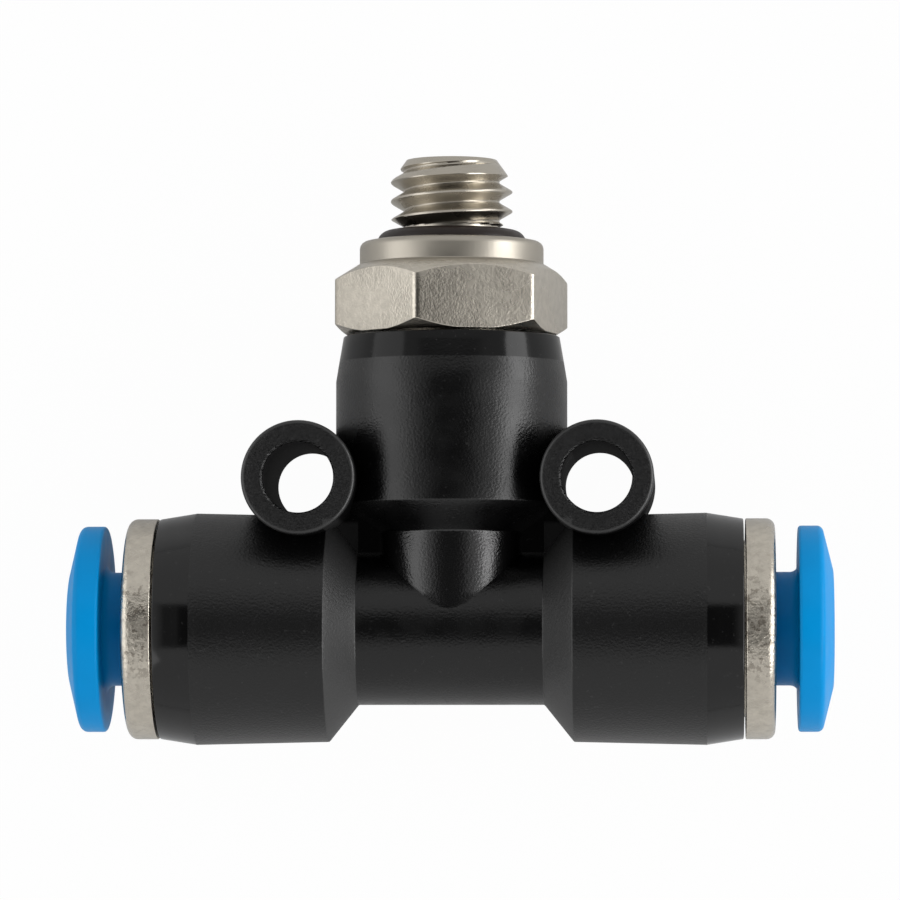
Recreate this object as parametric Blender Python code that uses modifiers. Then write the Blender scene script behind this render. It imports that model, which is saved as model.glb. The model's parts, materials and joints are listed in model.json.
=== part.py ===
"""Push-to-connect tee fitting: two tube ports in line and a swivelling male stub.

The fitting lies on its back. The tube run is along X, the stub points along +Y and +Z is up.
Distances along a port or along the stem are counted from the tee centre, where the axes cross.
"""
from math import cos, pi, radians, sin, tan

import bpy
from mathutils import Matrix

MM = 0.001

# Housing, outside. The barrels are as thick as the pieces inside and a wall ask for
WAIST_RADIUS = 3.10 * MM
WAIST_HALF_LENGTH = 3.79 * MM
BARREL_END_WALL = 0.87 * MM
BARREL_TAPER_RISE = 0.24 * MM
BARREL_TAPER_LENGTH = 1.50 * MM
BARREL_DRAFT = 0.12 * MM
BARREL_CONE_LENGTH = 1.21 * MM
CORE_RADIUS = 3.00 * MM
CORE_LENGTH = 3.93 * MM
STEM_CONE_LENGTH = 1.16 * MM
STEM_TAPER_LENGTH = 1.85 * MM
STEM_SHOULDER_LENGTH = 1.05 * MM
STEM_SHOULDER_DROP = 0.13 * MM
STEM_END_DROP = 0.31 * MM
STEM_TOP = 11.94 * MM
WEB_THICKNESS = 1.50 * MM

# Mounting eyes. Their axis lies beside the stem and above the barrel
EYE_FROM_STEM = 1.27 * MM
EYE_FROM_BARREL = 1.27 * MM
EYE_RADIUS = 2.30 * MM
EYE_HOLE_RADIUS = 1.42 * MM
EYE_FACE_INSET = 0.08 * MM
EYE_RIM_CHAMFER = 0.20 * MM

# Tube and the pieces that it passes
TUBE_RADIUS = 1.50 * MM
TUBE_CLEARANCE = 0.06 * MM
PASSAGE_RADIUS = 1.20 * MM
BRANCH_RADIUS = 1.10 * MM
TUBE_STOP = 6.00 * MM
SOCKET_LENGTH = 1.25 * MM
SEAL_SQUEEZE = 0.05 * MM
SEAL_HEIGHT = 0.98 * MM
SEAL_LENGTH = 1.31 * MM
SEAL_LIP_LENGTH = 0.24 * MM
SEAL_LIP_HEIGHT = 0.28 * MM
BACKUP_THICKNESS = 0.28 * MM
FIT = 0.02 * MM
END_PLAY = 0.03 * MM

# Metal collar
COLLAR_BORE_DEPTH = 3.28 * MM
COLLAR_PROUD = 0.01 * MM
COLLAR_FLANGE_THICKNESS = 1.20 * MM
COLLAR_EDGE_RADIUS = 0.36 * MM
COLLAR_SEAM = 0.08 * MM
COLLAR_MOUTH_CHAMFER = 0.36 * MM
SKIRT_WALL = 0.50 * MM

# Release ring, a collet with four fingers
NECK_WALL = 0.755 * MM
NECK_CLEARANCE = 0.22 * MM
NECK_FILLET = 0.33 * MM
HEAD_STEP = 0.585 * MM
HEAD_LENGTH = 0.72 * MM
HEAD_CONE_LENGTH = 1.20 * MM
HEAD_CLEARANCE = 0.20 * MM
CONE_GAP = 0.06 * MM
NOSE_CHAMFER = 0.28 * MM
FINGER_SLIT = 0.50 * MM
SLIT_PAST_CONE = 0.10 * MM
RELEASE_TRAVEL = 0.85 * MM
RELEASE_SPARE = 0.09 * MM
DISC_STEP = 0.30 * MM
RIM_WIDTH = 0.98 * MM
RIM_OUTER_RADIUS = 0.28 * MM
RIM_INNER_RADIUS = 0.12 * MM
DOME_RISE = 0.45 * MM
DOME_FLAT_WIDTH = 0.51 * MM
MOUTH_CHAMFER = 0.34 * MM

# Steel claws in the fingers
CLAW_THICKNESS = 0.18 * MM
CLAW_WIDTH = 1.70 * MM
CLAW_LENGTH = 1.04 * MM
CLAW_LEAN = radians(22.6)
CLAW_BITE = 0.04 * MM
CLAW_CLEARANCE = 0.03 * MM
CLAWS_PER_RING = 4

# Swivelling stub
STEM_BORE_DEPTH = 5.10 * MM
JOURNAL_RADIUS = 2.60 * MM
JOURNAL_CLEARANCE = 0.06 * MM
JOURNAL_END_GAP = 0.10 * MM
STUB_BORE_RADIUS = 1.20 * MM
RING_GROOVE_START = 0.65 * MM
STUB_RING_SECTION = 0.78 * MM
STUB_RING_PLAY = 0.015 * MM
RING_GROOVE_WIDTH = 1.10 * MM
CLIP_GROOVE_SPACING = 0.95 * MM
CLIP_THICKNESS = 0.50 * MM
CLIP_DEPTH_IN_STUB = 0.35 * MM
CLIP_DEPTH_IN_STEM = 0.34 * MM
CLIP_PLAY = 0.05 * MM
CLIP_OPENING = 1.90 * MM
SWIVEL_GAP = 0.09 * MM
HEX_FLAT_INSET = 0.17 * MM
HEX_HEIGHT = 2.99 * MM
HEX_EDGE_RADIUS = 0.22 * MM
HEX_LOW_STEP = 0.03 * MM
HEX_HIGH_STEP = 0.15 * MM
HEX_CHAMFER_ANGLE = radians(32)
HEX_CORNER_ANGLE = radians(45)
FLANGE_WALL = 0.655 * MM
FLANGE_THICKNESS = 0.83 * MM
FLANGE_EDGE_RADIUS = 0.30 * MM
SEAL_RING_SECTION = 1.06 * MM
SEAL_RING_PLAY = 0.05 * MM
SEAL_RECESS_DEPTH = 0.62 * MM
THREAD_RADIUS = 2.50 * MM
THREAD_DEPTH = 0.55 * MM
THREAD_LENGTH = 3.35 * MM
THREAD_TO_SEAL_RING = 0.065 * MM
TIP_CHAMFER_LENGTH = 0.90 * MM
TIP_CHAMFER_DEPTH = 0.64 * MM
TIP_BORE_CHAMFER = 0.25 * MM

# Facets
HOUSING_STEPS = 56
ROUND_STEPS = 36
EYE_STEPS = 36
RING_SECTION_STEPS = 8
ARC_STEPS = 3
HEX_SIDES = 6
DOME_EDGE_ANGLE = 78
SMOOTH_BELOW = radians(35)
RIM_EDGES_FROM = radians(60)
HEX_EDGES_FROM = radians(50)

# Worked out along the port axis
SEAL_POCKET_START = TUBE_STOP + SOCKET_LENGTH
SEAL_POCKET_END = SEAL_POCKET_START + SEAL_LENGTH + 2 * END_PLAY
BACKUP_START = SEAL_POCKET_END + END_PLAY
SKIRT_START = BACKUP_START + BACKUP_THICKNESS + END_PLAY
BARREL_END = SEAL_POCKET_END + COLLAR_BORE_DEPTH
FLANGE_START = BARREL_END + COLLAR_SEAM
COLLAR_END = FLANGE_START + COLLAR_FLANGE_THICKNESS
DISC_START = COLLAR_END + RELEASE_TRAVEL + RELEASE_SPARE
RING_END = DISC_START + RIM_WIDTH + DOME_RISE
NOSE = SKIRT_START + RELEASE_TRAVEL + END_PLAY
HEAD_START = NOSE + NOSE_CHAMFER
HEAD_END = HEAD_START + HEAD_LENGTH
HEAD_CONE_END = HEAD_END + HEAD_CONE_LENGTH

# Worked out across the port axis
TUBE_BORE_RADIUS = TUBE_RADIUS + TUBE_CLEARANCE
SEAL_LIP_RADIUS = TUBE_RADIUS - SEAL_SQUEEZE
SEAL_OUTER_RADIUS = SEAL_LIP_RADIUS + SEAL_HEIGHT
SEAL_POCKET_RADIUS = SEAL_OUTER_RADIUS + END_PLAY
NECK_RADIUS = TUBE_BORE_RADIUS + NECK_WALL
HEAD_RADIUS = NECK_RADIUS + HEAD_STEP
COLLAR_BORE_RADIUS = NECK_RADIUS + NECK_CLEARANCE
SKIRT_INNER_RADIUS = HEAD_RADIUS + HEAD_CLEARANCE
SKIRT_OUTER_RADIUS = SKIRT_INNER_RADIUS + SKIRT_WALL
COLLAR_SEAT_RADIUS = SKIRT_OUTER_RADIUS + FIT
BARREL_END_RADIUS = COLLAR_SEAT_RADIUS + BARREL_END_WALL
BARREL_RADIUS = BARREL_END_RADIUS + BARREL_TAPER_RISE
COLLAR_RADIUS = BARREL_END_RADIUS + COLLAR_PROUD
DISC_RADIUS = COLLAR_RADIUS - DISC_STEP
DOME_FLAT_RADIUS = TUBE_BORE_RADIUS + MOUTH_CHAMFER + DOME_FLAT_WIDTH

# The stem is as thick as the barrels, so the fitting lies flat on all three
STEM_RADIUS = BARREL_RADIUS
STEM_SHOULDER_RADIUS = STEM_RADIUS - STEM_SHOULDER_DROP
STEM_END_RADIUS = STEM_RADIUS - STEM_END_DROP
EYE_OFFSET_X = STEM_RADIUS + EYE_FROM_STEM
EYE_OFFSET_Y = BARREL_RADIUS + EYE_FROM_BARREL
EYE_LENGTH = 2 * (BARREL_RADIUS - EYE_FACE_INSET)

# Worked out along and across the stem axis
STEM_BORE_FLOOR = STEM_TOP - STEM_BORE_DEPTH
JOURNAL_END = STEM_BORE_FLOOR + JOURNAL_END_GAP
STEM_BORE_RADIUS = JOURNAL_RADIUS + JOURNAL_CLEARANCE
RING_GROOVE_RADIUS = STEM_BORE_RADIUS - STUB_RING_SECTION - 2 * STUB_RING_PLAY
CLIP_GROOVE_START = JOURNAL_END + RING_GROOVE_START + RING_GROOVE_WIDTH + CLIP_GROOVE_SPACING
CLIP_GROOVE_WIDTH = CLIP_THICKNESS + 2 * CLIP_PLAY
CLIP_INNER_RADIUS = JOURNAL_RADIUS - CLIP_DEPTH_IN_STUB
CLIP_OUTER_RADIUS = STEM_BORE_RADIUS + CLIP_DEPTH_IN_STEM
HEX_ACROSS_FLATS = 2 * (STEM_END_RADIUS - HEX_FLAT_INSET)
HEX_START = STEM_TOP + SWIVEL_GAP
HEX_END = HEX_START + HEX_HEIGHT
FLANGE_END = HEX_END + FLANGE_THICKNESS
TIP = FLANGE_END + THREAD_LENGTH
THREAD_ROOT_RADIUS = THREAD_RADIUS - THREAD_DEPTH
TIP_FACE_RADIUS = THREAD_RADIUS - TIP_CHAMFER_DEPTH
SEAL_RECESS_FLOOR = FLANGE_END - SEAL_RECESS_DEPTH
SEAL_RING_TOP = SEAL_RECESS_FLOOR + STUB_RING_PLAY + SEAL_RING_SECTION
THREAD_START = SEAL_RING_TOP + THREAD_TO_SEAL_RING
SEAL_RING_RADIUS = THREAD_ROOT_RADIUS + SEAL_RING_PLAY + SEAL_RING_SECTION / 2
SEAL_RECESS_RADIUS = SEAL_RING_RADIUS + SEAL_RING_SECTION / 2 + SEAL_RING_PLAY
FLANGE_RADIUS = SEAL_RECESS_RADIUS + FLANGE_WALL

# The lowest line of the barrels is at Z = 0, and the length is centred on Y = 0
TEE_CENTRE = (0, (BARREL_RADIUS - TIP) / 2, BARREL_RADIUS)
OVERRUN = 1.00 * MM


def make_collections():
    """Clears the scene's objects and adds one collection for parts and one for cutters."""
    for old in list(bpy.data.objects):
        bpy.data.objects.remove(old)
    parts = bpy.data.collections.new("tee_fitting")
    cutters = bpy.data.collections.new("cutters")
    for collection in (parts, cutters):
        bpy.context.scene.collection.children.link(collection)
    return parts, cutters


def make_axis(name, rotation):
    """An empty at the tee centre whose local Z is the axis of a port or of the stem."""
    axis = bpy.data.objects.new(name, None)
    axis.location = TEE_CENTRE
    axis.rotation_euler = rotation
    axis.empty_display_size = BARREL_RADIUS
    PARTS.objects.link(axis)
    return axis


def make_material(name, colour, roughness, metallic=0.0):
    material = bpy.data.materials.new(name)
    material.use_nodes = True
    shader = material.node_tree.nodes["Principled BSDF"]
    shader.inputs["Base Color"].default_value = (*colour, 1.0)
    shader.inputs["Roughness"].default_value = roughness
    shader.inputs["Metallic"].default_value = metallic
    return material


def add_object(name, mesh, parent=None, collection=None):
    thing = bpy.data.objects.new(name, mesh)
    thing.parent = parent
    (collection or PARTS).objects.link(thing)
    if collection is CUTTERS:
        thing.hide_render = True
        thing.display_type = "WIRE"
    return thing


def finish(thing, material, smooth_below=SMOOTH_BELOW):
    """Gives a piece its material and smooth shading up to its sharp edges."""
    thing.data.materials.append(material)
    thing.data.shade_smooth()
    thing.data.set_sharp_from_angle(angle=smooth_below)
    return thing


def arc(centre, radius, start, end, steps=ARC_STEPS):
    """Points of an arc in the plane of radius and height, from one angle in degrees to another."""
    angles = [radians(start + (end - start) * step / steps) for step in range(steps + 1)]
    return [(centre[0] + radius * cos(a), centre[1] + radius * sin(a)) for a in angles]


def turned(name, outline, steps, parent=None, collection=None):
    """A solid of revolution about local Z. The outline holds (radius, height) points.

    It runs down the outer side and back up the bore. One that starts and ends on the axis
    is left open there, and any other is closed.
    """
    points = [(radius, 0, height) for radius, height in outline]
    edges = [(i, i + 1) for i in range(len(points) - 1)]
    if outline[0][0] > 0:
        edges.append((len(points) - 1, 0))
    mesh = bpy.data.meshes.new(name)
    mesh.from_pydata(points, edges, [])
    thing = add_object(name, mesh, parent, collection)
    screw = thing.modifiers.new("turn", "SCREW")
    screw.steps = screw.render_steps = steps
    screw.use_merge_vertices = True
    screw.merge_threshold = 1e-6
    return thing


def box(name, lows, highs, parent=None, collection=None):
    """A box between two corners of its parent's frame."""
    bpy.ops.mesh.primitive_cube_add(size=1)
    thing = bpy.context.object
    size = [high - low for low, high in zip(lows, highs)]
    middle = [(high + low) / 2 for low, high in zip(lows, highs)]
    thing.data.transform(Matrix.Translation(middle) @ Matrix.Diagonal((*size, 1)))
    return adopt(thing, name, parent, collection)


def cylinder(name, radius, length, steps, parent=None, collection=None):
    """A cylinder about local Z, centred on its origin."""
    bpy.ops.mesh.primitive_cylinder_add(vertices=steps, radius=radius, depth=length)
    return adopt(bpy.context.object, name, parent, collection)


def adopt(thing, name, parent, collection):
    """Names a new primitive and moves it to the collection where it belongs."""
    mesh = thing.data
    bpy.data.objects.remove(thing)
    mesh.name = name
    return add_object(name, mesh, parent, collection)


def combine(thing, other, operation):
    boolean = thing.modifiers.new(operation.lower() + "_" + other.name, "BOOLEAN")
    boolean.operation = operation
    boolean.solver = "EXACT"
    boolean.object = other


def settled_mesh(thing):
    """The mesh of an object with its modifiers applied. The object is removed."""
    bpy.context.view_layer.update()
    evaluated = thing.evaluated_get(bpy.context.evaluated_depsgraph_get())
    mesh = bpy.data.meshes.new_from_object(evaluated)
    mesh.name = thing.name
    bpy.data.objects.remove(thing)
    return mesh


# Housing

def both_ways(half):
    """A half outline, listed from its end to the tee centre, carried on to the opposite end."""
    return half + [(radius, -height) for radius, height in reversed(half)]


def run_outline():
    """Both barrels, which draw in a little towards their cones, and the waist between them."""
    cone_end = WAIST_HALF_LENGTH + BARREL_CONE_LENGTH
    return both_ways([(0, BARREL_END), (BARREL_END_RADIUS, BARREL_END),
                      (BARREL_RADIUS, BARREL_END - BARREL_TAPER_LENGTH),
                      (BARREL_RADIUS - BARREL_DRAFT, cone_end), (WAIST_RADIUS, WAIST_HALF_LENGTH)])


def stem_outline():
    """Outline of the stem from its top face down to the tee centre."""
    cone_start = CORE_LENGTH
    cone_end = cone_start + STEM_CONE_LENGTH
    return [(0, STEM_TOP), (STEM_END_RADIUS, STEM_TOP),
            (STEM_SHOULDER_RADIUS, STEM_TOP - STEM_SHOULDER_LENGTH),
            (STEM_RADIUS, STEM_TOP - STEM_TAPER_LENGTH), (STEM_RADIUS, cone_end),
            (CORE_RADIUS, cone_start), (CORE_RADIUS, 0), (0, 0)]


def run_bore(axis):
    """What is bored out of the run: collar seats, seal pockets, tube sockets and the passage."""
    outline = both_ways([
        (0, BARREL_END + OVERRUN), (COLLAR_SEAT_RADIUS, BARREL_END + OVERRUN),
        (COLLAR_SEAT_RADIUS, SEAL_POCKET_END), (SEAL_POCKET_RADIUS, SEAL_POCKET_END),
        (SEAL_POCKET_RADIUS, SEAL_POCKET_START), (TUBE_BORE_RADIUS, SEAL_POCKET_START),
        (TUBE_BORE_RADIUS, TUBE_STOP), (PASSAGE_RADIUS, TUBE_STOP)])
    return turned("run_bore", outline, ROUND_STEPS, axis, CUTTERS)


def stem_bore(axis):
    """What is bored out of the stem: the swivel bore, its clip groove and the passage."""
    groove_end = CLIP_GROOVE_START + CLIP_GROOVE_WIDTH
    groove_radius = CLIP_OUTER_RADIUS + CLIP_PLAY
    outline = [(0, STEM_TOP + OVERRUN), (STEM_BORE_RADIUS, STEM_TOP + OVERRUN),
               (STEM_BORE_RADIUS, groove_end), (groove_radius, groove_end),
               (groove_radius, CLIP_GROOVE_START), (STEM_BORE_RADIUS, CLIP_GROOVE_START),
               (STEM_BORE_RADIUS, STEM_BORE_FLOOR), (BRANCH_RADIUS, STEM_BORE_FLOOR),
               (BRANCH_RADIUS, 0), (0, 0)]
    return turned("stem_bore", outline, ROUND_STEPS, axis, CUTTERS)


def eye_solid(side, axis):
    eye = cylinder("eye_" + side, EYE_RADIUS, EYE_LENGTH, EYE_STEPS, axis, CUTTERS)
    chamfer = eye.modifiers.new("rim", "BEVEL")
    chamfer.width = EYE_RIM_CHAMFER
    chamfer.segments = 1
    chamfer.limit_method = "ANGLE"
    chamfer.angle_limit = RIM_EDGES_FROM
    return eye


def make_housing(run_axis, stem_axis, plan_axis):
    """One moulding: two stepped barrels, the stem, the flat web in the corners and two eyes."""
    housing = turned("housing", run_outline(), HOUSING_STEPS, run_axis)
    stem = turned("stem_solid", stem_outline(), HOUSING_STEPS, stem_axis, CUTTERS)
    web = box("corner_web", (-EYE_OFFSET_X, 0, -WEB_THICKNESS / 2),
              (EYE_OFFSET_X, EYE_OFFSET_Y, WEB_THICKNESS / 2), plan_axis, CUTTERS)
    added = [stem, web]
    removed = [run_bore(run_axis), stem_bore(stem_axis)]
    for side, sign in (("left", -1), ("right", 1)):
        eye = eye_solid(side, plan_axis)
        hole = cylinder("eye_hole_" + side, EYE_HOLE_RADIUS, EYE_LENGTH + 2 * OVERRUN, EYE_STEPS,
                        plan_axis, CUTTERS)
        for piece in (eye, hole):
            piece.location = (sign * EYE_OFFSET_X, EYE_OFFSET_Y, 0)
        added.append(eye)
        removed.append(hole)
    for piece in added:
        combine(housing, piece, "UNION")
    for piece in removed:
        combine(housing, piece, "DIFFERENCE")
    return finish(housing, MATERIALS["black_plastic"])


# Tube ports

def collar_outline():
    """Flange with a rounded edge, skirt inside the barrel and the cone that the claws wedge in."""
    cone_slope = HEAD_STEP / HEAD_CONE_LENGTH
    cone_start = HEAD_END - (HEAD_CLEARANCE - CONE_GAP) / cone_slope
    cone_end = HEAD_CONE_END - (NECK_CLEARANCE - CONE_GAP) / cone_slope
    edge = (COLLAR_RADIUS - COLLAR_EDGE_RADIUS, COLLAR_END - COLLAR_EDGE_RADIUS)
    mouth_radius = COLLAR_BORE_RADIUS + COLLAR_MOUTH_CHAMFER
    return [(mouth_radius, COLLAR_END), *arc(edge, COLLAR_EDGE_RADIUS, 90, 0),
            (COLLAR_RADIUS, FLANGE_START), (SKIRT_OUTER_RADIUS, FLANGE_START),
            (SKIRT_OUTER_RADIUS, SKIRT_START), (SKIRT_INNER_RADIUS, SKIRT_START),
            (SKIRT_INNER_RADIUS, cone_start), (COLLAR_BORE_RADIUS, cone_end),
            (COLLAR_BORE_RADIUS, COLLAR_END - COLLAR_MOUTH_CHAMFER)]


def claw_section(clearance):
    """Section of a leaning steel plate, grown by a clearance. Its lower end bites the tube.

    The four points run outer top, outer bottom, inner bottom, inner top.
    """
    along = (cos(CLAW_LEAN), sin(CLAW_LEAN))
    across = (-sin(CLAW_LEAN), cos(CLAW_LEAN))
    half = CLAW_THICKNESS / 2 + clearance
    bite = (TUBE_RADIUS - CLAW_BITE, HEAD_START + CLAW_LENGTH / 4)

    def point(reach, side):
        return (bite[0] + reach * along[0] + side * across[0],
                bite[1] + reach * along[1] + side * across[1])
    top = CLAW_LENGTH + clearance
    return [point(top, half), point(top, -half), point(-clearance, -half), point(-clearance, half)]


def claw_groove():
    """The same section as a groove, cut off where it meets the bore of the fingers."""
    outer_top, outer_bottom, _, _ = claw_section(CLAW_CLEARANCE)
    rise = tan(CLAW_LEAN)
    bottom = (TUBE_BORE_RADIUS, outer_bottom[1] - (outer_bottom[0] - TUBE_BORE_RADIUS) * rise)
    top = (TUBE_BORE_RADIUS, outer_top[1] - (outer_top[0] - TUBE_BORE_RADIUS) * rise)
    return [bottom, outer_bottom, outer_top, top]


def release_ring_outline():
    """Disc with a low dome, neck, and a head that swells into a wedge with a groove for claws."""
    rim_top = DISC_START + RIM_WIDTH
    outer = (DISC_RADIUS - RIM_OUTER_RADIUS, rim_top - RIM_OUTER_RADIUS)
    inner = (DISC_RADIUS - RIM_INNER_RADIUS, DISC_START + RIM_INNER_RADIUS)
    neck = (NECK_RADIUS + NECK_FILLET, DISC_START - NECK_FILLET)
    return [(TUBE_BORE_RADIUS + MOUTH_CHAMFER, RING_END), (DOME_FLAT_RADIUS, RING_END),
            *arc(outer, RIM_OUTER_RADIUS, DOME_EDGE_ANGLE, 0),
            *arc(inner, RIM_INNER_RADIUS, 0, -90, 1),
            *arc(neck, NECK_FILLET, 90, 180), (NECK_RADIUS, HEAD_CONE_END),
            (HEAD_RADIUS, HEAD_END), (HEAD_RADIUS, HEAD_START), (HEAD_RADIUS - NOSE_CHAMFER, NOSE),
            (TUBE_BORE_RADIUS, NOSE), *claw_groove(),
            (TUBE_BORE_RADIUS, RING_END - MOUTH_CHAMFER)]


def release_ring_mesh():
    """The turned ring with two crossing slits, which leave four springy fingers."""
    ring = turned("release_ring", release_ring_outline(), ROUND_STEPS)
    slit_end = HEAD_CONE_END + SLIT_PAST_CONE
    reach = HEAD_RADIUS + OVERRUN
    slits = []
    for turn in (45, 135):
        slit = box("slit", (-reach, -FINGER_SLIT / 2, NOSE - OVERRUN),
                   (reach, FINGER_SLIT / 2, slit_end), None, CUTTERS)
        slit.rotation_euler = (0, 0, radians(turn))
        combine(ring, slit, "DIFFERENCE")
        slits.append(slit)
    mesh = settled_mesh(ring)
    for slit in slits:
        bpy.data.objects.remove(slit)
    return mesh


def claw_mesh():
    """One claw: the part of the leaning ring section that a finger holds."""
    claw = turned("claw", claw_section(0), ROUND_STEPS)
    keep = box("claw_width", (0, -CLAW_WIDTH / 2, NOSE), (HEAD_RADIUS, CLAW_WIDTH / 2, HEAD_CONE_END),
               None, CUTTERS)
    combine(claw, keep, "INTERSECT")
    mesh = settled_mesh(claw)
    bpy.data.objects.remove(keep)
    return mesh


def seal_outline():
    """Rubber ring with a rounded lip that presses on the tube."""
    start = SEAL_POCKET_START + END_PLAY
    end = start + SEAL_LENGTH
    middle = (start + end) / 2
    flank = SEAL_LIP_RADIUS + SEAL_LIP_HEIGHT
    return [(SEAL_OUTER_RADIUS, end), (SEAL_OUTER_RADIUS, start), (flank, start),
            (SEAL_LIP_RADIUS, middle - SEAL_LIP_LENGTH / 2),
            (SEAL_LIP_RADIUS, middle + SEAL_LIP_LENGTH / 2), (flank, end)]


def backup_outline():
    """Flat washer that keeps the fingers off the seal."""
    outer = SKIRT_OUTER_RADIUS - END_PLAY
    inner = TUBE_BORE_RADIUS + TUBE_CLEARANCE
    end = BACKUP_START + BACKUP_THICKNESS
    return [(outer, end), (outer, BACKUP_START), (inner, BACKUP_START), (inner, end)]


def make_port(side, axis, ring_mesh, claws_mesh):
    """Everything that sits in one barrel, from the seal out to the release ring."""
    for name, outline, material in (("tube_seal", seal_outline(), "black_rubber"),
                                    ("backup_ring", backup_outline(), "white_plastic"),
                                    ("collar", collar_outline(), "plated_brass")):
        piece = turned(side + "_" + name, outline, ROUND_STEPS, axis)
        finish(piece, MATERIALS[material])
    ring = add_object(side + "_release_ring", ring_mesh, axis)
    if not ring.data.materials:
        finish(ring, MATERIALS["blue_plastic"])
    for number in range(CLAWS_PER_RING):
        claw = add_object(f"{side}_claw_{number + 1}", claws_mesh, axis)
        claw.rotation_euler = (0, 0, number * 2 * pi / CLAWS_PER_RING)
        if not claw.data.materials:
            finish(claw, MATERIALS["spring_steel"])


# Swivelling stub

def stub_outline():
    """Turned body: threaded tip, seal recess, flange, and the grooved journal below the hexagon."""
    core_end = (HEX_START + HEX_END) / 2
    undercut_end = THREAD_START - THREAD_DEPTH / 2
    edge = (FLANGE_RADIUS - FLANGE_EDGE_RADIUS, FLANGE_END - FLANGE_EDGE_RADIUS)
    clip_root = CLIP_INNER_RADIUS - CLIP_PLAY
    clip_groove_end = CLIP_GROOVE_START + CLIP_GROOVE_WIDTH
    ring_groove_start = JOURNAL_END + RING_GROOVE_START
    ring_groove_end = ring_groove_start + RING_GROOVE_WIDTH
    return [(STUB_BORE_RADIUS + TIP_BORE_CHAMFER, TIP), (TIP_FACE_RADIUS, TIP),
            (THREAD_RADIUS, TIP - TIP_CHAMFER_LENGTH), (THREAD_RADIUS, THREAD_START),
            (THREAD_ROOT_RADIUS, undercut_end), (THREAD_ROOT_RADIUS, SEAL_RECESS_FLOOR),
            (SEAL_RECESS_RADIUS, SEAL_RECESS_FLOOR), (SEAL_RECESS_RADIUS, FLANGE_END),
            *arc(edge, FLANGE_EDGE_RADIUS, 90, 0), (FLANGE_RADIUS, core_end),
            (JOURNAL_RADIUS, core_end), (JOURNAL_RADIUS, clip_groove_end),
            (clip_root, clip_groove_end), (clip_root, CLIP_GROOVE_START),
            (JOURNAL_RADIUS, CLIP_GROOVE_START), (JOURNAL_RADIUS, ring_groove_end),
            (RING_GROOVE_RADIUS, ring_groove_end), (RING_GROOVE_RADIUS, ring_groove_start),
            (JOURNAL_RADIUS, ring_groove_start), (JOURNAL_RADIUS, JOURNAL_END),
            (STUB_BORE_RADIUS, JOURNAL_END), (STUB_BORE_RADIUS, TIP - TIP_BORE_CHAMFER)]


def hexagon(axis):
    """Hexagon with rounded corner edges, chamfered at both ends as on a lathe.

    It is a ring that starts inside the wall of the turned body, whose bore stays free.
    """
    corner_radius = HEX_ACROSS_FLATS / 2 / cos(pi / HEX_SIDES)
    slope = tan(HEX_CHAMFER_ANGLE)
    low_radius = HEX_ACROSS_FLATS / 2 + HEX_LOW_STEP
    high_radius = FLANGE_RADIUS - HEX_HIGH_STEP
    wide = corner_radius + OVERRUN
    solid = cylinder("hexagon", corner_radius, HEX_HEIGHT, HEX_SIDES, axis, CUTTERS)
    solid.location = (0, 0, (HEX_START + HEX_END) / 2)
    solid.rotation_euler = (0, 0, pi / 2 - HEX_CORNER_ANGLE)
    edges = solid.modifiers.new("corner_edges", "BEVEL")
    edges.width = HEX_EDGE_RADIUS
    edges.segments = 2
    edges.limit_method = "ANGLE"
    edges.angle_limit = HEX_EDGES_FROM
    lathe = turned("hexagon_chamfers", [
        (0, HEX_END), (high_radius, HEX_END), (wide, HEX_END - (wide - high_radius) * slope),
        (wide, HEX_START + (wide - low_radius) * slope),
        (low_radius, HEX_START), (0, HEX_START)], ROUND_STEPS, axis, CUTTERS)
    combine(solid, lathe, "INTERSECT")
    inside_wall = (STUB_BORE_RADIUS + JOURNAL_RADIUS) / 2
    core = cylinder("hexagon_core", inside_wall, HEX_HEIGHT + OVERRUN, ROUND_STEPS, axis, CUTTERS)
    core.location = solid.location
    combine(solid, core, "DIFFERENCE")
    return solid


def make_stub(axis):
    """The turned body joined to its hexagon, and the two rubber rings and the clip on it."""
    stub = turned("threaded_stub", stub_outline(), ROUND_STEPS, axis)
    combine(stub, hexagon(axis), "UNION")
    finish(stub, MATERIALS["plated_brass"])

    seal_height = SEAL_RING_TOP - SEAL_RING_SECTION / 2
    make_rubber_ring("thread_seal_ring", SEAL_RING_RADIUS, SEAL_RING_SECTION, seal_height, axis)
    ring_radius = STEM_BORE_RADIUS - STUB_RING_PLAY - STUB_RING_SECTION / 2
    ring_height = JOURNAL_END + RING_GROOVE_START + RING_GROOVE_WIDTH / 2
    make_rubber_ring("stub_o_ring", ring_radius, STUB_RING_SECTION, ring_height, axis)


def make_rubber_ring(name, radius, section, height, axis):
    bpy.ops.mesh.primitive_torus_add(
        major_radius=radius, minor_radius=section / 2, major_segments=ROUND_STEPS,
        minor_segments=RING_SECTION_STEPS)
    ring = adopt(bpy.context.object, name, axis, None)
    ring.location = (0, 0, height)
    return finish(ring, MATERIALS["black_rubber"], RIM_EDGES_FROM)


def make_clip(axis):
    """Split ring that sits half in the stub and half in the stem, so the stub only turns."""
    start = CLIP_GROOVE_START + CLIP_PLAY
    end = start + CLIP_THICKNESS
    clip = turned("stub_retaining_clip", [
        (CLIP_OUTER_RADIUS, end), (CLIP_OUTER_RADIUS, start), (CLIP_INNER_RADIUS, start),
        (CLIP_INNER_RADIUS, end)], ROUND_STEPS, axis)
    opening = box("clip_opening", (0, -CLIP_OPENING / 2, start - OVERRUN),
                  (CLIP_OUTER_RADIUS + OVERRUN, CLIP_OPENING / 2, end + OVERRUN), axis, CUTTERS)
    combine(clip, opening, "DIFFERENCE")
    return finish(clip, MATERIALS["spring_steel"])


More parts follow.
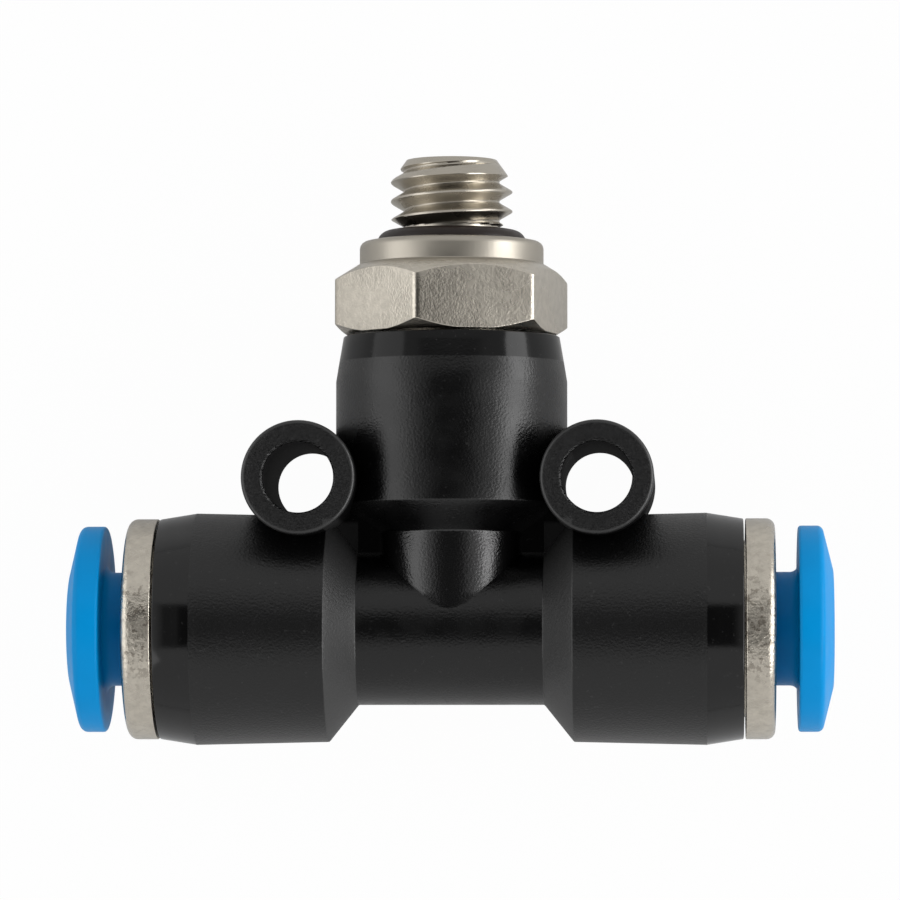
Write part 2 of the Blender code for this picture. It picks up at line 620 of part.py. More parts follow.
PARTS, CUTTERS = make_collections()
MATERIALS = {
    "black_plastic": make_material("black_plastic", (0.008, 0.008, 0.009), 0.42),
    "plated_brass": make_material("plated_brass", (0.60, 0.57, 0.52), 0.32, 1.0),
    "blue_plastic": make_material("blue_plastic", (0.003, 0.27, 0.66), 0.38),
    "black_rubber": make_material("black_rubber", (0.012, 0.012, 0.012), 0.55),
    "white_plastic": make_material("white_plastic", (0.75, 0.74, 0.70), 0.5),
    "spring_steel": make_material("spring_steel", (0.56, 0.57, 0.58), 0.25, 1.0),
}


def main():
    run_axis = make_axis("run_axis", (0, pi / 2, 0))
    stem_axis = make_axis("stem_axis", (-pi / 2, 0, 0))
    plan_axis = make_axis("plan_axis", (0, 0, 0))
    port_axes = {"left": make_axis("left_port_axis", (0, -pi / 2, 0)),
                 "right": make_axis("right_port_axis", (0, pi / 2, 0))}
    make_housing(run_axis, stem_axis, plan_axis)
    ring_mesh, claws_mesh = release_ring_mesh(), claw_mesh()
    for side, axis in port_axes.items():
        make_port(side, axis, ring_mesh, claws_mesh)
    make_stub(stem_axis)
    make_clip(stem_axis)


main()
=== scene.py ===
"""Dresses the packed push-to-connect tee fitting: surfaces, finishes, light and camera.

Run it with blender --background --python scene.py. Lengths are in metres, in the frame's axes:
the tube run is along X, the stub points along +Y and the fitting lies on the floor at Z = 0.
"""

import json

import bmesh
import bpy
import numpy as np
from bpy.props import FloatProperty, FloatVectorProperty, IntProperty, PointerProperty
from bpy.types import Operator, Panel, PropertyGroup
from mathutils import Matrix, Vector

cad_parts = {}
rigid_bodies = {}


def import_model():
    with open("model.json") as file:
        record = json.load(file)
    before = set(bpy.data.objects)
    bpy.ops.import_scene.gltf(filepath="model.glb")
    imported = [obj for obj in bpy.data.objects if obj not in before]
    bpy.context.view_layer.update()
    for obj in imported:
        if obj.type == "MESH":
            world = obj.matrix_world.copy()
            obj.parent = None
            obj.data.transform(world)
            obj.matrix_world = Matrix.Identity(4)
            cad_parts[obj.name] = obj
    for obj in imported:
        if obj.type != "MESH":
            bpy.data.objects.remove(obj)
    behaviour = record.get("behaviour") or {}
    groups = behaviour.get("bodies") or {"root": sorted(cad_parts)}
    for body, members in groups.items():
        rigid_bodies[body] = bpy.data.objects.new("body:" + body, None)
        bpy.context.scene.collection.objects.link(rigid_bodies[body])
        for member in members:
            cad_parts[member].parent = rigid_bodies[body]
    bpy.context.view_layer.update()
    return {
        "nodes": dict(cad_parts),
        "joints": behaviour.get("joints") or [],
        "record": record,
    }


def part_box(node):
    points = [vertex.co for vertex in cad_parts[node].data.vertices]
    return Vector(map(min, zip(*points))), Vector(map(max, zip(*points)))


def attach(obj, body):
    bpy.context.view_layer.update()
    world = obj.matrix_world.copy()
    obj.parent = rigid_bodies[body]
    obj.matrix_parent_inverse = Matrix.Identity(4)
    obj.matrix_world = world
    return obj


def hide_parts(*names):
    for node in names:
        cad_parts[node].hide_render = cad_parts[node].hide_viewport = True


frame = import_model()

bl_info = {
    "name": "Push-to-connect tee fitting",
    "version": (1, 0, 0),
    "blender": (4, 5, 0),
    "location": "3D View > Sidebar > Tee fitting",
    "description": "Builds the surfaces, finishes and studio of a small pneumatic tee",
    "category": "Object",
}

MM = 0.001
SIDES = (("left", -1.0), ("right", 1.0))
X, Y, Z = 0, 1, 2
FULL_TURN = 2.0 * np.pi

# Where the axes of the two ports and of the stub cross
TEE = np.array(next(joint["pos_m"] for joint in frame["joints"] if joint["name"] == "stub_swivel"))


def far_side(node, axis):
    """Distance from the tee centre to the far side of a node's box along one axis."""
    low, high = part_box(node)
    return max(abs(low[axis] - TEE[axis]), abs(high[axis] - TEE[axis]))


def near_side(node, axis):
    """Distance from the tee centre to the near side of a node's box along one axis."""
    low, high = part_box(node)
    return min(abs(low[axis] - TEE[axis]), abs(high[axis] - TEE[axis]))


# Hidden sizes of the housing, along and across the ports
TUBE_BORE_RADIUS = 1.56 * MM
TUBE_STOP = 6.00 * MM
PASSAGE_RADIUS = 1.20 * MM
BRANCH_RADIUS = 1.10 * MM
SEAL_POCKET_START = 7.25 * MM
SEAL_POCKET_END = 8.62 * MM
SEAL_POCKET_RADIUS = 2.46 * MM
COLLAR_SEAT_RADIUS = 3.62 * MM
STEM_BORE_RADIUS = 2.66 * MM
STEM_BORE_FLOOR = 6.84 * MM
CLIP_GROOVE = (9.64 * MM, 10.24 * MM)
CLIP_GROOVE_RADIUS = 3.05 * MM
OVERRUN = 1.00 * MM

# Hidden sizes of the collars and of the release rings' fingers
SKIRT_RADII = (3.10 * MM, 3.60 * MM)
HEAD_RADIUS = 2.90 * MM
HEAD_START = 10.12 * MM
HEAD_END = 10.84 * MM
HEAD_CONE_END = 12.04 * MM
CONE_GAP = 0.06 * MM
CLAW_GROOVE_HALF = 0.12 * MM
CLAW_LENGTH = 1.07 * MM
CLAW_LEAN = np.radians(22.6)
CLAW_BITE_RADIUS = 1.46 * MM
CLAW_BITE_HEIGHT = 10.38 * MM
FINGER_SLIT = 0.50 * MM
SLIT_END = 12.14 * MM
NOSE_TAPER = 0.28 * MM

# Hidden sizes of the stub
JOURNAL_RADIUS = 2.60 * MM
RING_GROOVE = (7.59 * MM, 8.69 * MM)
RING_GROOVE_RADIUS = 1.85 * MM
CLIP_ROOT_RADIUS = 2.20 * MM
STUB_BORE_RADIUS = 1.20 * MM
TIP_BORE_CHAMFER = 0.25 * MM

# How the surfaces are drawn: roundings of small edges, how far the hexagon's lower chamfer stays
# inside its sides, how much the stub's columns crowd at its corners, facets, doubles and shading
SMALL_EDGE = 0.05 * MM
LOW_EDGE_INSET = 0.03 * MM
CORNER_CROWDING = 0.85
BORE_COLUMNS = 96
EYE_COLUMNS = 128
SECTION_COLUMNS = 48
MERGE_DISTANCE = 1e-7
SHARP_EDGE = np.radians(30.0)

# Shape of the thread. Its flanks are measured along the stub, from the middle of the crest
ROWS_PER_PITCH = 20
FLANK_FOOT = 0.36 * MM
FLANK_WIDTH = 0.315 * MM
FLANK_SOFTNESS = 0.08
GROOVE_BELOW_THREAD = 0.25 * MM
RUN_OUT_SLOPE = 1.8

# Studio, in metres. The last is how bright the floor looks in mirrors and behind glass
SOFTBOX_DISTANCE = 0.3
SOFTBOX_LENGTH = 0.5
FLOOR_REACH = 3.0
FLOOR_IN_MIRRORS = 0.04

# Grain depth in metres and specular level of the housing's plastic, and then the roughness, grain
# depth and specular level of each of its regions. A later region lies over the earlier ones
BODY_GRAIN, BODY_SHINE = 1.3e-5, 0.5
HOUSING_REGIONS = {
    "barrel": (0.34, 1.9e-5, 0.54),
    "barrel_end": (0.12, 5e-7, 0.5),
    "stem_end": (0.12, 1e-6, 0.24),
    "core": (0.22, 1.3e-5, 0.78),
    "cone": (0.46, 1.9e-5, 0.6),
    "web": (0.10, 1e-6, 0.2),
    "eye_wall": (0.60, 4e-6, 0.10),
    "eye_face": (0.22, 2e-6, 0.5),
    "eye_rim": (0.30, 6e-6, 0.5),
}


def length(name, description, default):
    """A length that a user may change, in metres."""
    return FloatProperty(name=name, description=description, default=default, min=0.0,
                         precision=5, unit="LENGTH", subtype="DISTANCE")


def turn(name, description, default):
    """An angle that a user may change, given here in degrees."""
    return FloatProperty(name=name, description=description, default=np.radians(default),
                         unit="ROTATION", subtype="ANGLE")


def share(name, description, default):
    """A value from 0 to 1 that a user may change."""
    return FloatProperty(name=name, description=description, default=default, min=0.0, max=1.0,
                         subtype="FACTOR")


def colour(name, description, default):
    """A linear colour that a user may change."""
    return FloatVectorProperty(name=name, description=description, default=default, size=3,
                               min=0.0, max=1.0, subtype="COLOR")


class HousingSizes(PropertyGroup):
    """Outer sizes of the black moulding."""

    waist_radius: length("Waist radius", "Radius of the thin middle of the run", 3.10 * MM)
    waist_half: length("Waist half length", "From the tee centre to the cones", 3.79 * MM)
    cone: length("Barrel cone", "Length of the cone from waist to barrel", 1.21 * MM)
    radius: length("Body radius", "Radius of both barrels and of the stem",
                   far_side("housing", Z))
    barrel_end: length("Barrel end", "From the tee centre to the end of a barrel",
                       far_side("housing", X))
    barrel_end_radius: length("Barrel end radius", "Radius of the barrel at its end", 4.49 * MM)
    barrel_taper: length("Barrel taper", "Length of the tapered end of a barrel", 1.50 * MM)
    barrel_draft: length("Barrel draft", "How far a barrel draws in at its cone", 0.12 * MM)
    core_radius: length("Core radius", "Radius of the neck below the stem", 3.00 * MM)
    core_length: length("Core length", "From the tee centre to the stem's cone", 3.93 * MM)
    stem_cone: length("Stem cone", "Length of the cone from core to stem", 1.16 * MM)
    stem_top: length("Stem top", "From the tee centre to the top of the stem",
                     far_side("housing", Y))
    stem_taper: length("Stem taper", "Length of the tapered top of the stem", 1.85 * MM)
    stem_shoulder: length("Stem shoulder", "Length of the steeper part of the taper", 1.05 * MM)
    stem_shoulder_radius: length("Shoulder radius", "Radius where the taper steepens", 4.60 * MM)
    stem_end_radius: length("Stem end radius", "Radius of the stem at its top", 4.42 * MM)
    web: length("Web thickness", "Thickness of the flat webs in the corners", 1.50 * MM)
    eye_x: length("Eye across", "From the stub's axis to the hole of an eye", 6.00 * MM)
    eye_y: length("Eye up", "From the tube axis to the hole of an eye", 6.00 * MM)
    eye_radius: length("Eye radius", "Outer radius of a mounting eye", 2.30 * MM)
    eye_hole: length("Eye hole", "Radius of the hole in a mounting eye", 1.42 * MM)
    eye_half: length("Eye half length", "Half the length of a mounting eye", 4.65 * MM)
    edge: length("Edge rounding", "Radius of the moulded outer edges", 0.10 * MM)
    rim: length("Eye rim", "Rounding of the outer rim of an eye", 0.16 * MM)
    columns: IntProperty(name="Columns", description="Facets round the barrels and the stem",
                         default=256, min=32)


class PortSizes(PropertyGroup):
    """Sizes of the metal collars and blue release rings."""

    collar_radius: length("Collar radius", "Outer radius of the flange",
                          far_side("left_collar", Z))
    collar_start: length("Flange start", "From the tee centre to the flange", 11.98 * MM)
    collar_end: length("Collar end", "From the tee centre to the collar's face",
                       far_side("left_collar", X))
    collar_foot: length("Collar foot", "From the tee centre to the end of the skirt",
                        near_side("left_collar", X))
    collar_edge: length("Collar edge", "Rounding of the flange's outer edge", 0.36 * MM)
    collar_bore: length("Collar bore", "Radius of the hole for the neck", 2.535 * MM)
    neck_radius: length("Neck radius", "Radius of the release ring's neck", 2.315 * MM)
    neck_fillet: length("Neck fillet", "Rounding between neck and disc", 0.33 * MM)
    disc_radius: length("Disc radius", "Radius of the disc that is pressed",
                        far_side("left_release_ring", Z))
    disc_start: length("Disc start", "From the tee centre to the disc", 14.12 * MM)
    disc_rim: length("Disc rim", "Thickness of the disc at its rim", 0.98 * MM)
    disc_end: length("Disc end", "From the tee centre to the end of the ring",
                     far_side("left_release_ring", X))
    nose: length("Nose", "From the tee centre to the tips of the fingers",
                 near_side("left_release_ring", X))
    dome_flat: length("Dome flat", "Radius of the flat middle of the dome", 2.41 * MM)
    rim_outer: length("Rim outer edge", "Rounding of the rim on its dome side", 0.28 * MM)
    rim_inner: length("Rim inner edge", "Rounding of the rim on its neck side", 0.12 * MM)
    mouth: length("Mouth", "Chamfer of the opening for the tube", 0.34 * MM)
    columns: IntProperty(name="Columns", description="Facets round a collar or a ring",
                         default=240, min=32)


class StubSizes(PropertyGroup):
    """Sizes of the threaded stub and its seal ring."""

    journal_end: length("Journal end", "From the tee centre to the hidden end",
                        near_side("threaded_stub", Y))
    tip: length("Tip", "From the tee centre to the thread's tip", far_side("threaded_stub", Y))
    hex_start: length("Hexagon start", "From the tee centre to the hexagon", 12.03 * MM)
    hex_end: length("Hexagon end", "From the tee centre to the hexagon's top", 15.02 * MM)
    hex_flats: length("Across flats", "Width of the hexagon across its flats", 8.50 * MM)
    hex_corner: turn("Corner angle", "Angle of one corner from +X towards +Z", 45.0)
    hex_edge: length("Corner rounding", "Radius of the hexagon's upright edges", 0.20 * MM)
    hex_low: length("Lower chamfer", "Radius where the lower chamfer starts", 4.28 * MM)
    hex_high: length("Upper chamfer", "Radius where the upper chamfer ends", 3.615 * MM)
    hex_slope: turn("Chamfer angle", "Slope of the hexagon's chamfers", 32.0)
    flange_radius: length("Flange radius", "Radius of the flange", 3.765 * MM)
    flange_end: length("Flange end", "From the tee centre to the flange's face", 15.85 * MM)
    flange_edge: length("Flange edge", "Rounding of the flange's edge", 0.30 * MM)
    recess_floor: length("Recess floor", "From the tee centre to the seal recess", 15.23 * MM)
    recess_radius: length("Recess radius", "Outer radius of the seal recess", 3.11 * MM)
    thread_radius: length("Thread radius", "Outer radius of the thread", 2.50 * MM)
    thread_root: length("Root radius", "Radius at the thread's root", 1.95 * MM)
    thread_pitch: length("Pitch", "Rise of the thread in one turn", 0.80 * MM)
    thread_crest: length("Crest place", "Height of one crest on the +X side", 17.90 * MM)
    thread_foot: length("Thread foot", "Height where the thread starts to grow", 16.46 * MM)
    tip_radius: length("Tip radius", "Radius of the tip's face", 1.86 * MM)
    tip_chamfer: length("Tip chamfer", "Length of the chamfer at the tip", 0.90 * MM)
    columns: IntProperty(name="Columns", description="Facets round the stub", default=360,
                         min=48)


class FinishColours(PropertyGroup):
    """Colours and roughness of the finishes."""

    black: colour("Black plastic", "Moulded housing", (0.0012, 0.0012, 0.0013))
    black_rough: share("Black roughness", "Roughness of the housing", 0.26)
    # Real dust for the fine specks on the body; on the cones the same lighter colour is a painted
    # sheen, on the eyes' rims a painted highlight
    dust_and_sheen: colour("Dust", "Matt bloom on the cones and worn rims", (0.022, 0.022, 0.022))
    nickel: colour("Plated brass", "Stub and collars", (0.61, 0.565, 0.487))
    nickel_rough: share("Plating roughness", "Roughness of the plating", 0.24)
    # Dark colour of the collars' pits, laid only on the band that faces up: partly tarnish, partly
    # painted shade
    tarnish_and_shade: colour("Tarnish", "Worn pits in the collars' plating", (0.22, 0.19, 0.155))
    blue: colour("Blue plastic", "Release rings", (0.0, 0.285, 0.685))
    blue_rough: share("Blue roughness", "Roughness of the release rings", 0.36)
    rubber: colour("Black rubber", "Seal rings", (0.012, 0.006, 0.004))
    white: colour("White plastic", "Back-up rings", (0.75, 0.74, 0.70))
    steel: colour("Spring steel", "Claws and clip", (0.56, 0.57, 0.58))


class StudioSettings(PropertyGroup):
    """Camera, floor and lights."""

    lens: FloatProperty(name="Lens", description="Focal length", default=224.4, unit="CAMERA")
    eye: FloatVectorProperty(name="Camera place", description="Camera from the tee centre",
                             default=(9.4 * MM, -5.0 * MM, 229.0 * MM), unit="LENGTH")
    aim: FloatVectorProperty(name="Camera aim", description="What it looks at, from the centre",
                             default=(-0.07 * MM, 7.32 * MM, 0.0), unit="LENGTH")
    floor: colour("Floor", "Colour of the floor", (0.74, 0.74, 0.74))
    floor_glow: share("Floor white", "How far the camera sees the floor as white", 0.975)
    surround: share("Surround", "Brightness of the studio's walls and ceiling", 0.68)
    front: share("Front", "Brightness of the dark patch round the camera", 0.06)
    right_box: FloatProperty(name="Right softbox", description="Radiance of the right softbox",
                             default=3.6)
    left_box: FloatProperty(name="Left softbox", description="Radiance of the left softbox",
                            default=0.98)


# Surfaces

def path_rows(corners, columns):
    """Corners of (radius, height, ...) as an array of rows, (radius, height), columns."""
    rows = [[np.broadcast_to(value, columns) for value in corner[:2]] for corner in corners]
    return np.array(rows, float)


def groove(side, floor, start, end):
    """Four sharp corners of a square groove: the radii of its side and floor, and its two ends."""
    return [(side, start, 0), (floor, start, 0), (floor, end, 0), (side, end, 0)]


def rounded(corners, columns=1, steps=4):
    """An outline whose corners are rounded by arcs, as rows of (radius, height) for each column.

    Each corner is (radius, height, rounding), and a radius or height may differ from column to
    column. An arc touches both legs at rounding / tan(half the angle between them) from its
    corner. Its points are the spoke to one touching point, swung to the other by equal angles.
    """
    path = path_rows(corners, columns)
    rounding = np.array([corner[2] for corner in corners[1:-1]], float)[:, None, None]
    middle = path[1:-1]
    back = path[:-2] - middle
    ahead = path[2:] - middle
    back /= np.linalg.norm(back, axis=1, keepdims=True)
    ahead /= np.linalg.norm(ahead, axis=1, keepdims=True)
    half = np.arccos(np.clip((back * ahead).sum(axis=1, keepdims=True), -1.0, 1.0)) / 2
    half = np.clip(half, 1e-3, np.pi / 2 - 1e-3)
    bisector = back + ahead
    bisector /= np.maximum(np.linalg.norm(bisector, axis=1, keepdims=True), 1e-12)
    centre = middle + bisector * rounding / np.sin(half)
    spokes = [middle + leg * rounding / np.tan(half) - centre for leg in (back, ahead)]
    swing = np.pi - 2 * half
    part = np.linspace(0.0, 1.0, steps + 1)[:, None, None, None]
    arcs = centre + (np.sin((1 - part) * swing) * spokes[0]
                     + np.sin(part * swing) * spokes[1]) / np.sin(swing)
    keep = np.ones((len(middle), steps + 1), bool)
    keep[rounding[:, 0, 0] == 0, 1:] = False
    return np.concatenate([path[:1], arcs.transpose(1, 0, 2, 3)[keep], path[-1:]])


def denser(path, step):
    """The same outline with more rows: each leg longer than the step is split into equal parts."""
    legs = np.linalg.norm(np.diff(path, axis=0), axis=1).max(axis=1)
    counts = np.maximum(1, np.ceil(legs / step)).astype(int)
    leg = np.repeat(np.arange(len(counts)), counts)
    within = np.arange(len(leg)) - np.repeat(np.cumsum(counts) - counts, counts)
    along = (within / counts[leg])[:, None, None]
    return np.concatenate([path[leg] + along * (path[leg + 1] - path[leg]), path[-1:]])


def both_ways(path):
    """An outline from its end to the tee centre, carried on to the opposite end."""
    mirrored = path[::-1] * np.array([1.0, -1.0])[:, None]
    return np.concatenate([path, mirrored[1:] if path[-1, 1, 0] == 0 else mirrored])


def round_angles(columns):
    """Equal angles from 0 to a full turn, both included."""
    return np.linspace(0.0, FULL_TURN, columns + 1)


def turned(path, angles, axis, centre=TEE, sense=1.0):
    """Grid of points of an outline carried round an axis.

    Point = centre + sense * height along the axis + radius * (cos angle, sin angle) across it.
    """
    radius, height = path[:, 0], path[:, 1]
    across = [(Y, Z), (X, Z), (X, Y)][axis]
    grid = np.empty((len(path), len(angles), 3))
    grid[..., axis] = sense * height + np.zeros(len(angles))
    grid[..., across[0]] = radius * np.cos(angles)
    grid[..., across[1]] = radius * np.sin(angles)
    return grid + np.asarray(centre)


def grid_mesh(name, grid):
    """Mesh of a grid of points. Each quad joins four neighbours.

    The last column lies on the first, and rows may fall on one point or on each other, so doubles
    are merged. That closes seams and poles, and the normals are then turned outwards.
    """
    rows, columns = grid.shape[:2]
    index = np.arange(rows * columns).reshape(rows, columns)
    quads = np.stack([index[:-1, :-1], index[:-1, 1:], index[1:, 1:], index[1:, :-1]], axis=-1)
    quads = quads.reshape(-1, 4)
    mesh = bpy.data.meshes.new(name)
    mesh.vertices.add(rows * columns)
    mesh.vertices.foreach_set("co", grid.ravel())
    mesh.loops.add(quads.size)
    mesh.loops.foreach_set("vertex_index", quads.ravel())
    mesh.polygons.add(len(quads))
    mesh.polygons.foreach_set("loop_start", np.arange(0, quads.size, 4))
    mesh.update(calc_edges=True)
    return closed(mesh)


def closed(mesh):
    """Merges doubles, drops what falls flat and turns the faces outwards."""
    work = bmesh.new()
    work.from_mesh(mesh)
    bmesh.ops.remove_doubles(work, verts=work.verts, dist=MERGE_DISTANCE)
    bmesh.ops.recalc_face_normals(work, faces=work.faces)
    work.to_mesh(mesh)
    work.free()
    return mesh


def slab(name, low, high):
    """A box between two corners, as a grid of four outlines: two poles and two square rims."""
    low, high = np.asarray(low), np.asarray(high)
    middle = (low + high) / 2
    rim = np.array([[0, 0], [1, 0], [1, 1], [0, 1], [0, 0]])
    flat = low[:2] + rim * (high - low)[:2]
    grid = np.empty((4, 5, 3))
    grid[..., :2] = flat
    grid[0, :, :2] = grid[3, :, :2] = middle[:2]
    grid[:2, :, 2] = low[2]
    grid[2:, :, 2] = high[2]
    return grid_mesh(name, grid)


def carved(mesh, joined=(), cut=()):
    """A mesh after exact Boolean unions and differences with other meshes."""
    scene = bpy.context.scene.collection.objects
    base = bpy.data.objects.new(mesh.name, mesh)
    scene.link(base)
    tools = []
    for operation, meshes in (("UNION", joined), ("DIFFERENCE", cut)):
        for other in meshes:
            tool = bpy.data.objects.new(other.name, other)
            scene.link(tool)
            tools.append(tool)
            boolean = base.modifiers.new(other.name, "BOOLEAN")
            boolean.operation, boolean.solver, boolean.object = operation, "EXACT", tool
    bpy.context.view_layer.update()
    result = bpy.data.meshes.new_from_object(
        base.evaluated_get(bpy.context.evaluated_depsgraph_get()))
    for used in (base, *tools):
        bpy.data.objects.remove(used)
    if not result.polygons:
        raise RuntimeError(mesh.name + " has no faces left after its Booleans")
    return closed(result)


def add_piece(name, mesh, material, body, node):
    """Shows a finished mesh in place of a CAD node, smooth up to its sharp edges."""
    mesh.name = name
    mesh.materials.clear()
    mesh.materials.append(material)
    mesh.shade_smooth()
    mesh.set_sharp_from_angle(angle=SHARP_EDGE)
    piece = bpy.data.objects.new(name, mesh)
    bpy.context.scene.collection.objects.link(piece)
    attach(piece, body)
    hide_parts(node)


# Finishes

def add_node(tree, kind, inputs, **settings):
    """Adds a shader node to a tree. An input is a value or another node's output."""
    node = tree.nodes.new("ShaderNode" + kind)
    for key, value in settings.items():
        setattr(node, key, value)
    for key, value in inputs.items():
        if isinstance(value, bpy.types.NodeSocket):
            tree.links.new(value, node.inputs[key])
        else:
            node.inputs[key].default_value = value
    return node


class Finish:
    """A node material in the making: one Principled shader and its nodes."""

    def __init__(self, name, base, rough, metallic=0.0):
        self.material = bpy.data.materials.new(name)
        self.material.use_nodes = True
        self.tree = self.material.node_tree
        self.shader = self.tree.nodes["Principled BSDF"]
        self.shader.inputs["Base Color"].default_value = (*base, 1.0)
        self.shader.inputs["Roughness"].default_value = rough
        self.shader.inputs["Metallic"].default_value = metallic
        self.place = self.tree.nodes.new("ShaderNodeTexCoord").outputs["Object"]

    def node(self, kind, inputs, **settings):
        """Adds a node to the material."""
        return add_node(self.tree, kind, inputs, **settings)

    def parts(self):
        """Object coordinates as three numbers, X, Y and Z."""
        return self.node("SeparateXYZ", {"Vector": self.place}).outputs

    def math(self, operation, first, second=0.0):
        """One Math node's output."""
        return self.node("Math", {0: first, 1: second}, operation=operation).outputs[0]

    def product(self, first, *others):
        """Several numbers multiplied by each other."""
        for other in others:
            first = self.math("MULTIPLY", first, other)
        return first

    def rest(self, mask):
        """What a mask leaves of 1."""
        return self.math("SUBTRACT", 1.0, mask)

    def off(self, value, middle):
        """How far a value is from a middle, on either side."""
        return self.math("ABSOLUTE", self.math("SUBTRACT", value, middle))

    def apart(self, first, second):
        """Length of a flat vector with two parts: the root of the sum of their squares."""
        return self.math("SQRT", self.math("ADD", self.product(first, first),
                                           self.product(second, second)))

    def stretched(self, scale, turn_z=0.0):
        """Object coordinates turned about Z and multiplied by a scale for each axis."""
        return self.node("Mapping", {"Vector": self.place, "Rotation": (0.0, 0.0, turn_z),
                                     "Scale": scale}).outputs[0]

    def noise(self, size, detail=2.0, rough=0.5, place=None):
        """Noise from about 0 to 1 whose blobs are about the given size across."""
        return self.node("TexNoise", {"Vector": place or self.place, "Scale": 1.0 / size,
                                      "Detail": detail, "Roughness": rough}).outputs[0]

    def between(self, value, low, high, to_low=0.0, to_high=1.0):
        """The value's range from low to high, stretched to another range and cut off there."""
        return self.node("MapRange", {"Value": value, "From Min": low, "From Max": high,
                                      "To Min": to_low, "To Max": to_high},
                         interpolation_type="SMOOTHSTEP").outputs[0]

    def edge(self, value, place, start, end):
        """From 0 to 1 between two distances in millimetres from a place. It falls if start > end."""
        return self.between(value, place + start * MM, place + end * MM)

    def varied(self, noise, low=0.0, high=1.0):
        """The usual range of a noise, which is 0.3 to 0.7, stretched to another range."""
        return self.between(noise, 0.3, 0.7, low, high)

    def blend(self, mask, outside, inside):
        """One number outside a mask and another inside it."""
        return self.node("Mix", {"Factor": mask, 2: outside, 3: inside}).outputs[0]

    def mixed(self, factor, first, second):
        """A colour between two colours. The first may be another node's output."""
        if not isinstance(first, bpy.types.NodeSocket):
            first = (*first, 1.0)
        return self.node("Mix", {"Factor": factor, 6: first, 7: (*second, 1.0)},
                         data_type="RGBA").outputs[2]

    def bump(self, height, depth, under=None):
        """Bump whose height of 1 stands for the given depth in metres, over another bump."""
        inputs = {"Height": height, "Distance": depth, "Strength": 1.0}
        if under:
            inputs["Normal"] = under
        return self.node("Bump", inputs).outputs[0]

    def link(self, output, name):
        """Links an output to one of the shader's sockets."""
        self.tree.links.new(output, self.shader.inputs[name])


def scaled(value, factor):
    """A colour made lighter or darker by a factor."""
    return tuple(channel * factor for channel in value)


def housing_masks(finish, sizes):
    """Where each region of the housing is: its name, and 1 inside it and 0 outside.

    Regions are told apart by the distance across from the stub's axis, up from the tube axis and
    in depth from the middle plane, and round the eyes by the distance from an eye's axis.
    """
    parts = finish.parts()
    across = finish.math("ABSOLUTE", parts[X])
    up = finish.math("SUBTRACT", parts[Y], TEE[Y])
    depth = finish.off(parts[Z], TEE[Z])
    from_stub_axis = finish.apart(parts[X], depth)
    from_tube_axis = finish.apart(up, depth)
    from_eye = finish.apart(finish.math("SUBTRACT", across, sizes.eye_x),
                            finish.math("SUBTRACT", up, sizes.eye_y))
    on_eye = finish.product(finish.edge(from_eye, sizes.eye_radius, 0.06, 0.0),
                            finish.edge(depth, sizes.eye_half, -0.30, -0.20))
    # A band along an eye's outer rim that gets a lighter colour as a painted highlight
    rim_highlight = finish.edge(from_eye, sizes.eye_radius, -0.18, -0.09)
    cone_end = sizes.waist_half + sizes.cone
    barrel = finish.edge(across, cone_end, -0.02, 0.02)
    return {
        "barrel": barrel,
        "barrel_end": finish.edge(across, sizes.barrel_end - sizes.barrel_taper, -0.02, 0.04),
        "stem_end": finish.edge(up, sizes.stem_top - sizes.stem_shoulder, -0.03, 0.03),
        "core": finish.product(
            finish.edge(finish.off(from_stub_axis, sizes.core_radius), 0.0, 0.05, 0.02),
            finish.edge(from_tube_axis, sizes.waist_radius, 0.02, 0.06),
            finish.math("GREATER_THAN", up, 0.0)),
        "cone": finish.product(
            finish.edge(across, cone_end, 0.02, -0.02),
            finish.edge(across, sizes.waist_half, -0.02, 0.02),
            finish.edge(up, sizes.radius, -0.3, -0.5)),
        "web": finish.product(
            finish.edge(finish.off(depth, sizes.web / 2), 0.0, 0.02, 0.01),
            finish.math("LESS_THAN", up, sizes.eye_y),
            finish.math("GREATER_THAN", up, sizes.waist_radius), finish.rest(barrel)),
        "eye_wall": finish.product(
            finish.edge(finish.off(from_eye, sizes.eye_radius), 0.0, 0.05, 0.02),
            finish.edge(depth, sizes.eye_half, -0.10, -0.30)),
        "eye_face": finish.product(on_eye, finish.rest(rim_highlight)),
        "eye_rim": finish.product(on_eye, rim_highlight),
    }


def black_plastic(finishes, sizes):
    """Moulded plastic: grainy body, glossy ends and core, cones with a painted sheen, eye rims with a
    painted highlight and streaky eye faces.
    """
    finish = Finish("black_plastic", finishes.black, finishes.black_rough)
    masks = housing_masks(finish, sizes)
    clouds = finish.noise(1.4 * MM, detail=4.0)
    rough = finish.varied(clouds, finishes.black_rough - 0.04, finishes.black_rough + 0.05)
    grain_depth, shine = BODY_GRAIN, BODY_SHINE
    for region, (rough_there, grain_there, shine_there) in HOUSING_REGIONS.items():
        rough = finish.blend(masks[region], rough, rough_there)
        grain_depth = finish.blend(masks[region], grain_depth, grain_there)
        shine = finish.blend(masks[region], shine, shine_there)
    finish.link(rough, "Roughness")
    finish.link(shine, "Specular IOR Level")
    specks = finish.between(finish.noise(0.16 * MM), 0.66, 0.74)
    body = finish.mixed(finish.varied(clouds), scaled(finishes.black, 0.8),
                        scaled(finishes.black, 1.25))
    body = finish.mixed(finish.product(specks, 0.6), body, finishes.dust_and_sheen)
    # Cones get the lighter colour as a painted sheen and the eyes' rims as a painted highlight; the
    # specks are dust
    painted_sheen = finish.math("MAXIMUM", masks["cone"], masks["eye_rim"])
    finish.link(finish.mixed(painted_sheen, body, finishes.dust_and_sheen), "Base Color")
    grain = finish.bump(finish.noise(0.10 * MM, detail=3.0), grain_depth)
    streaks = finish.noise(1.0, detail=3.0, rough=0.65, place=finish.stretched(
        (3500.0, 11000.0, 6000.0), turn_z=0.9))
    streak_depth = finish.blend(masks["eye_face"], outside=1e-6, inside=6e-5)
    finish.link(finish.bump(streaks, streak_depth, grain), "Normal")
    return finish.material


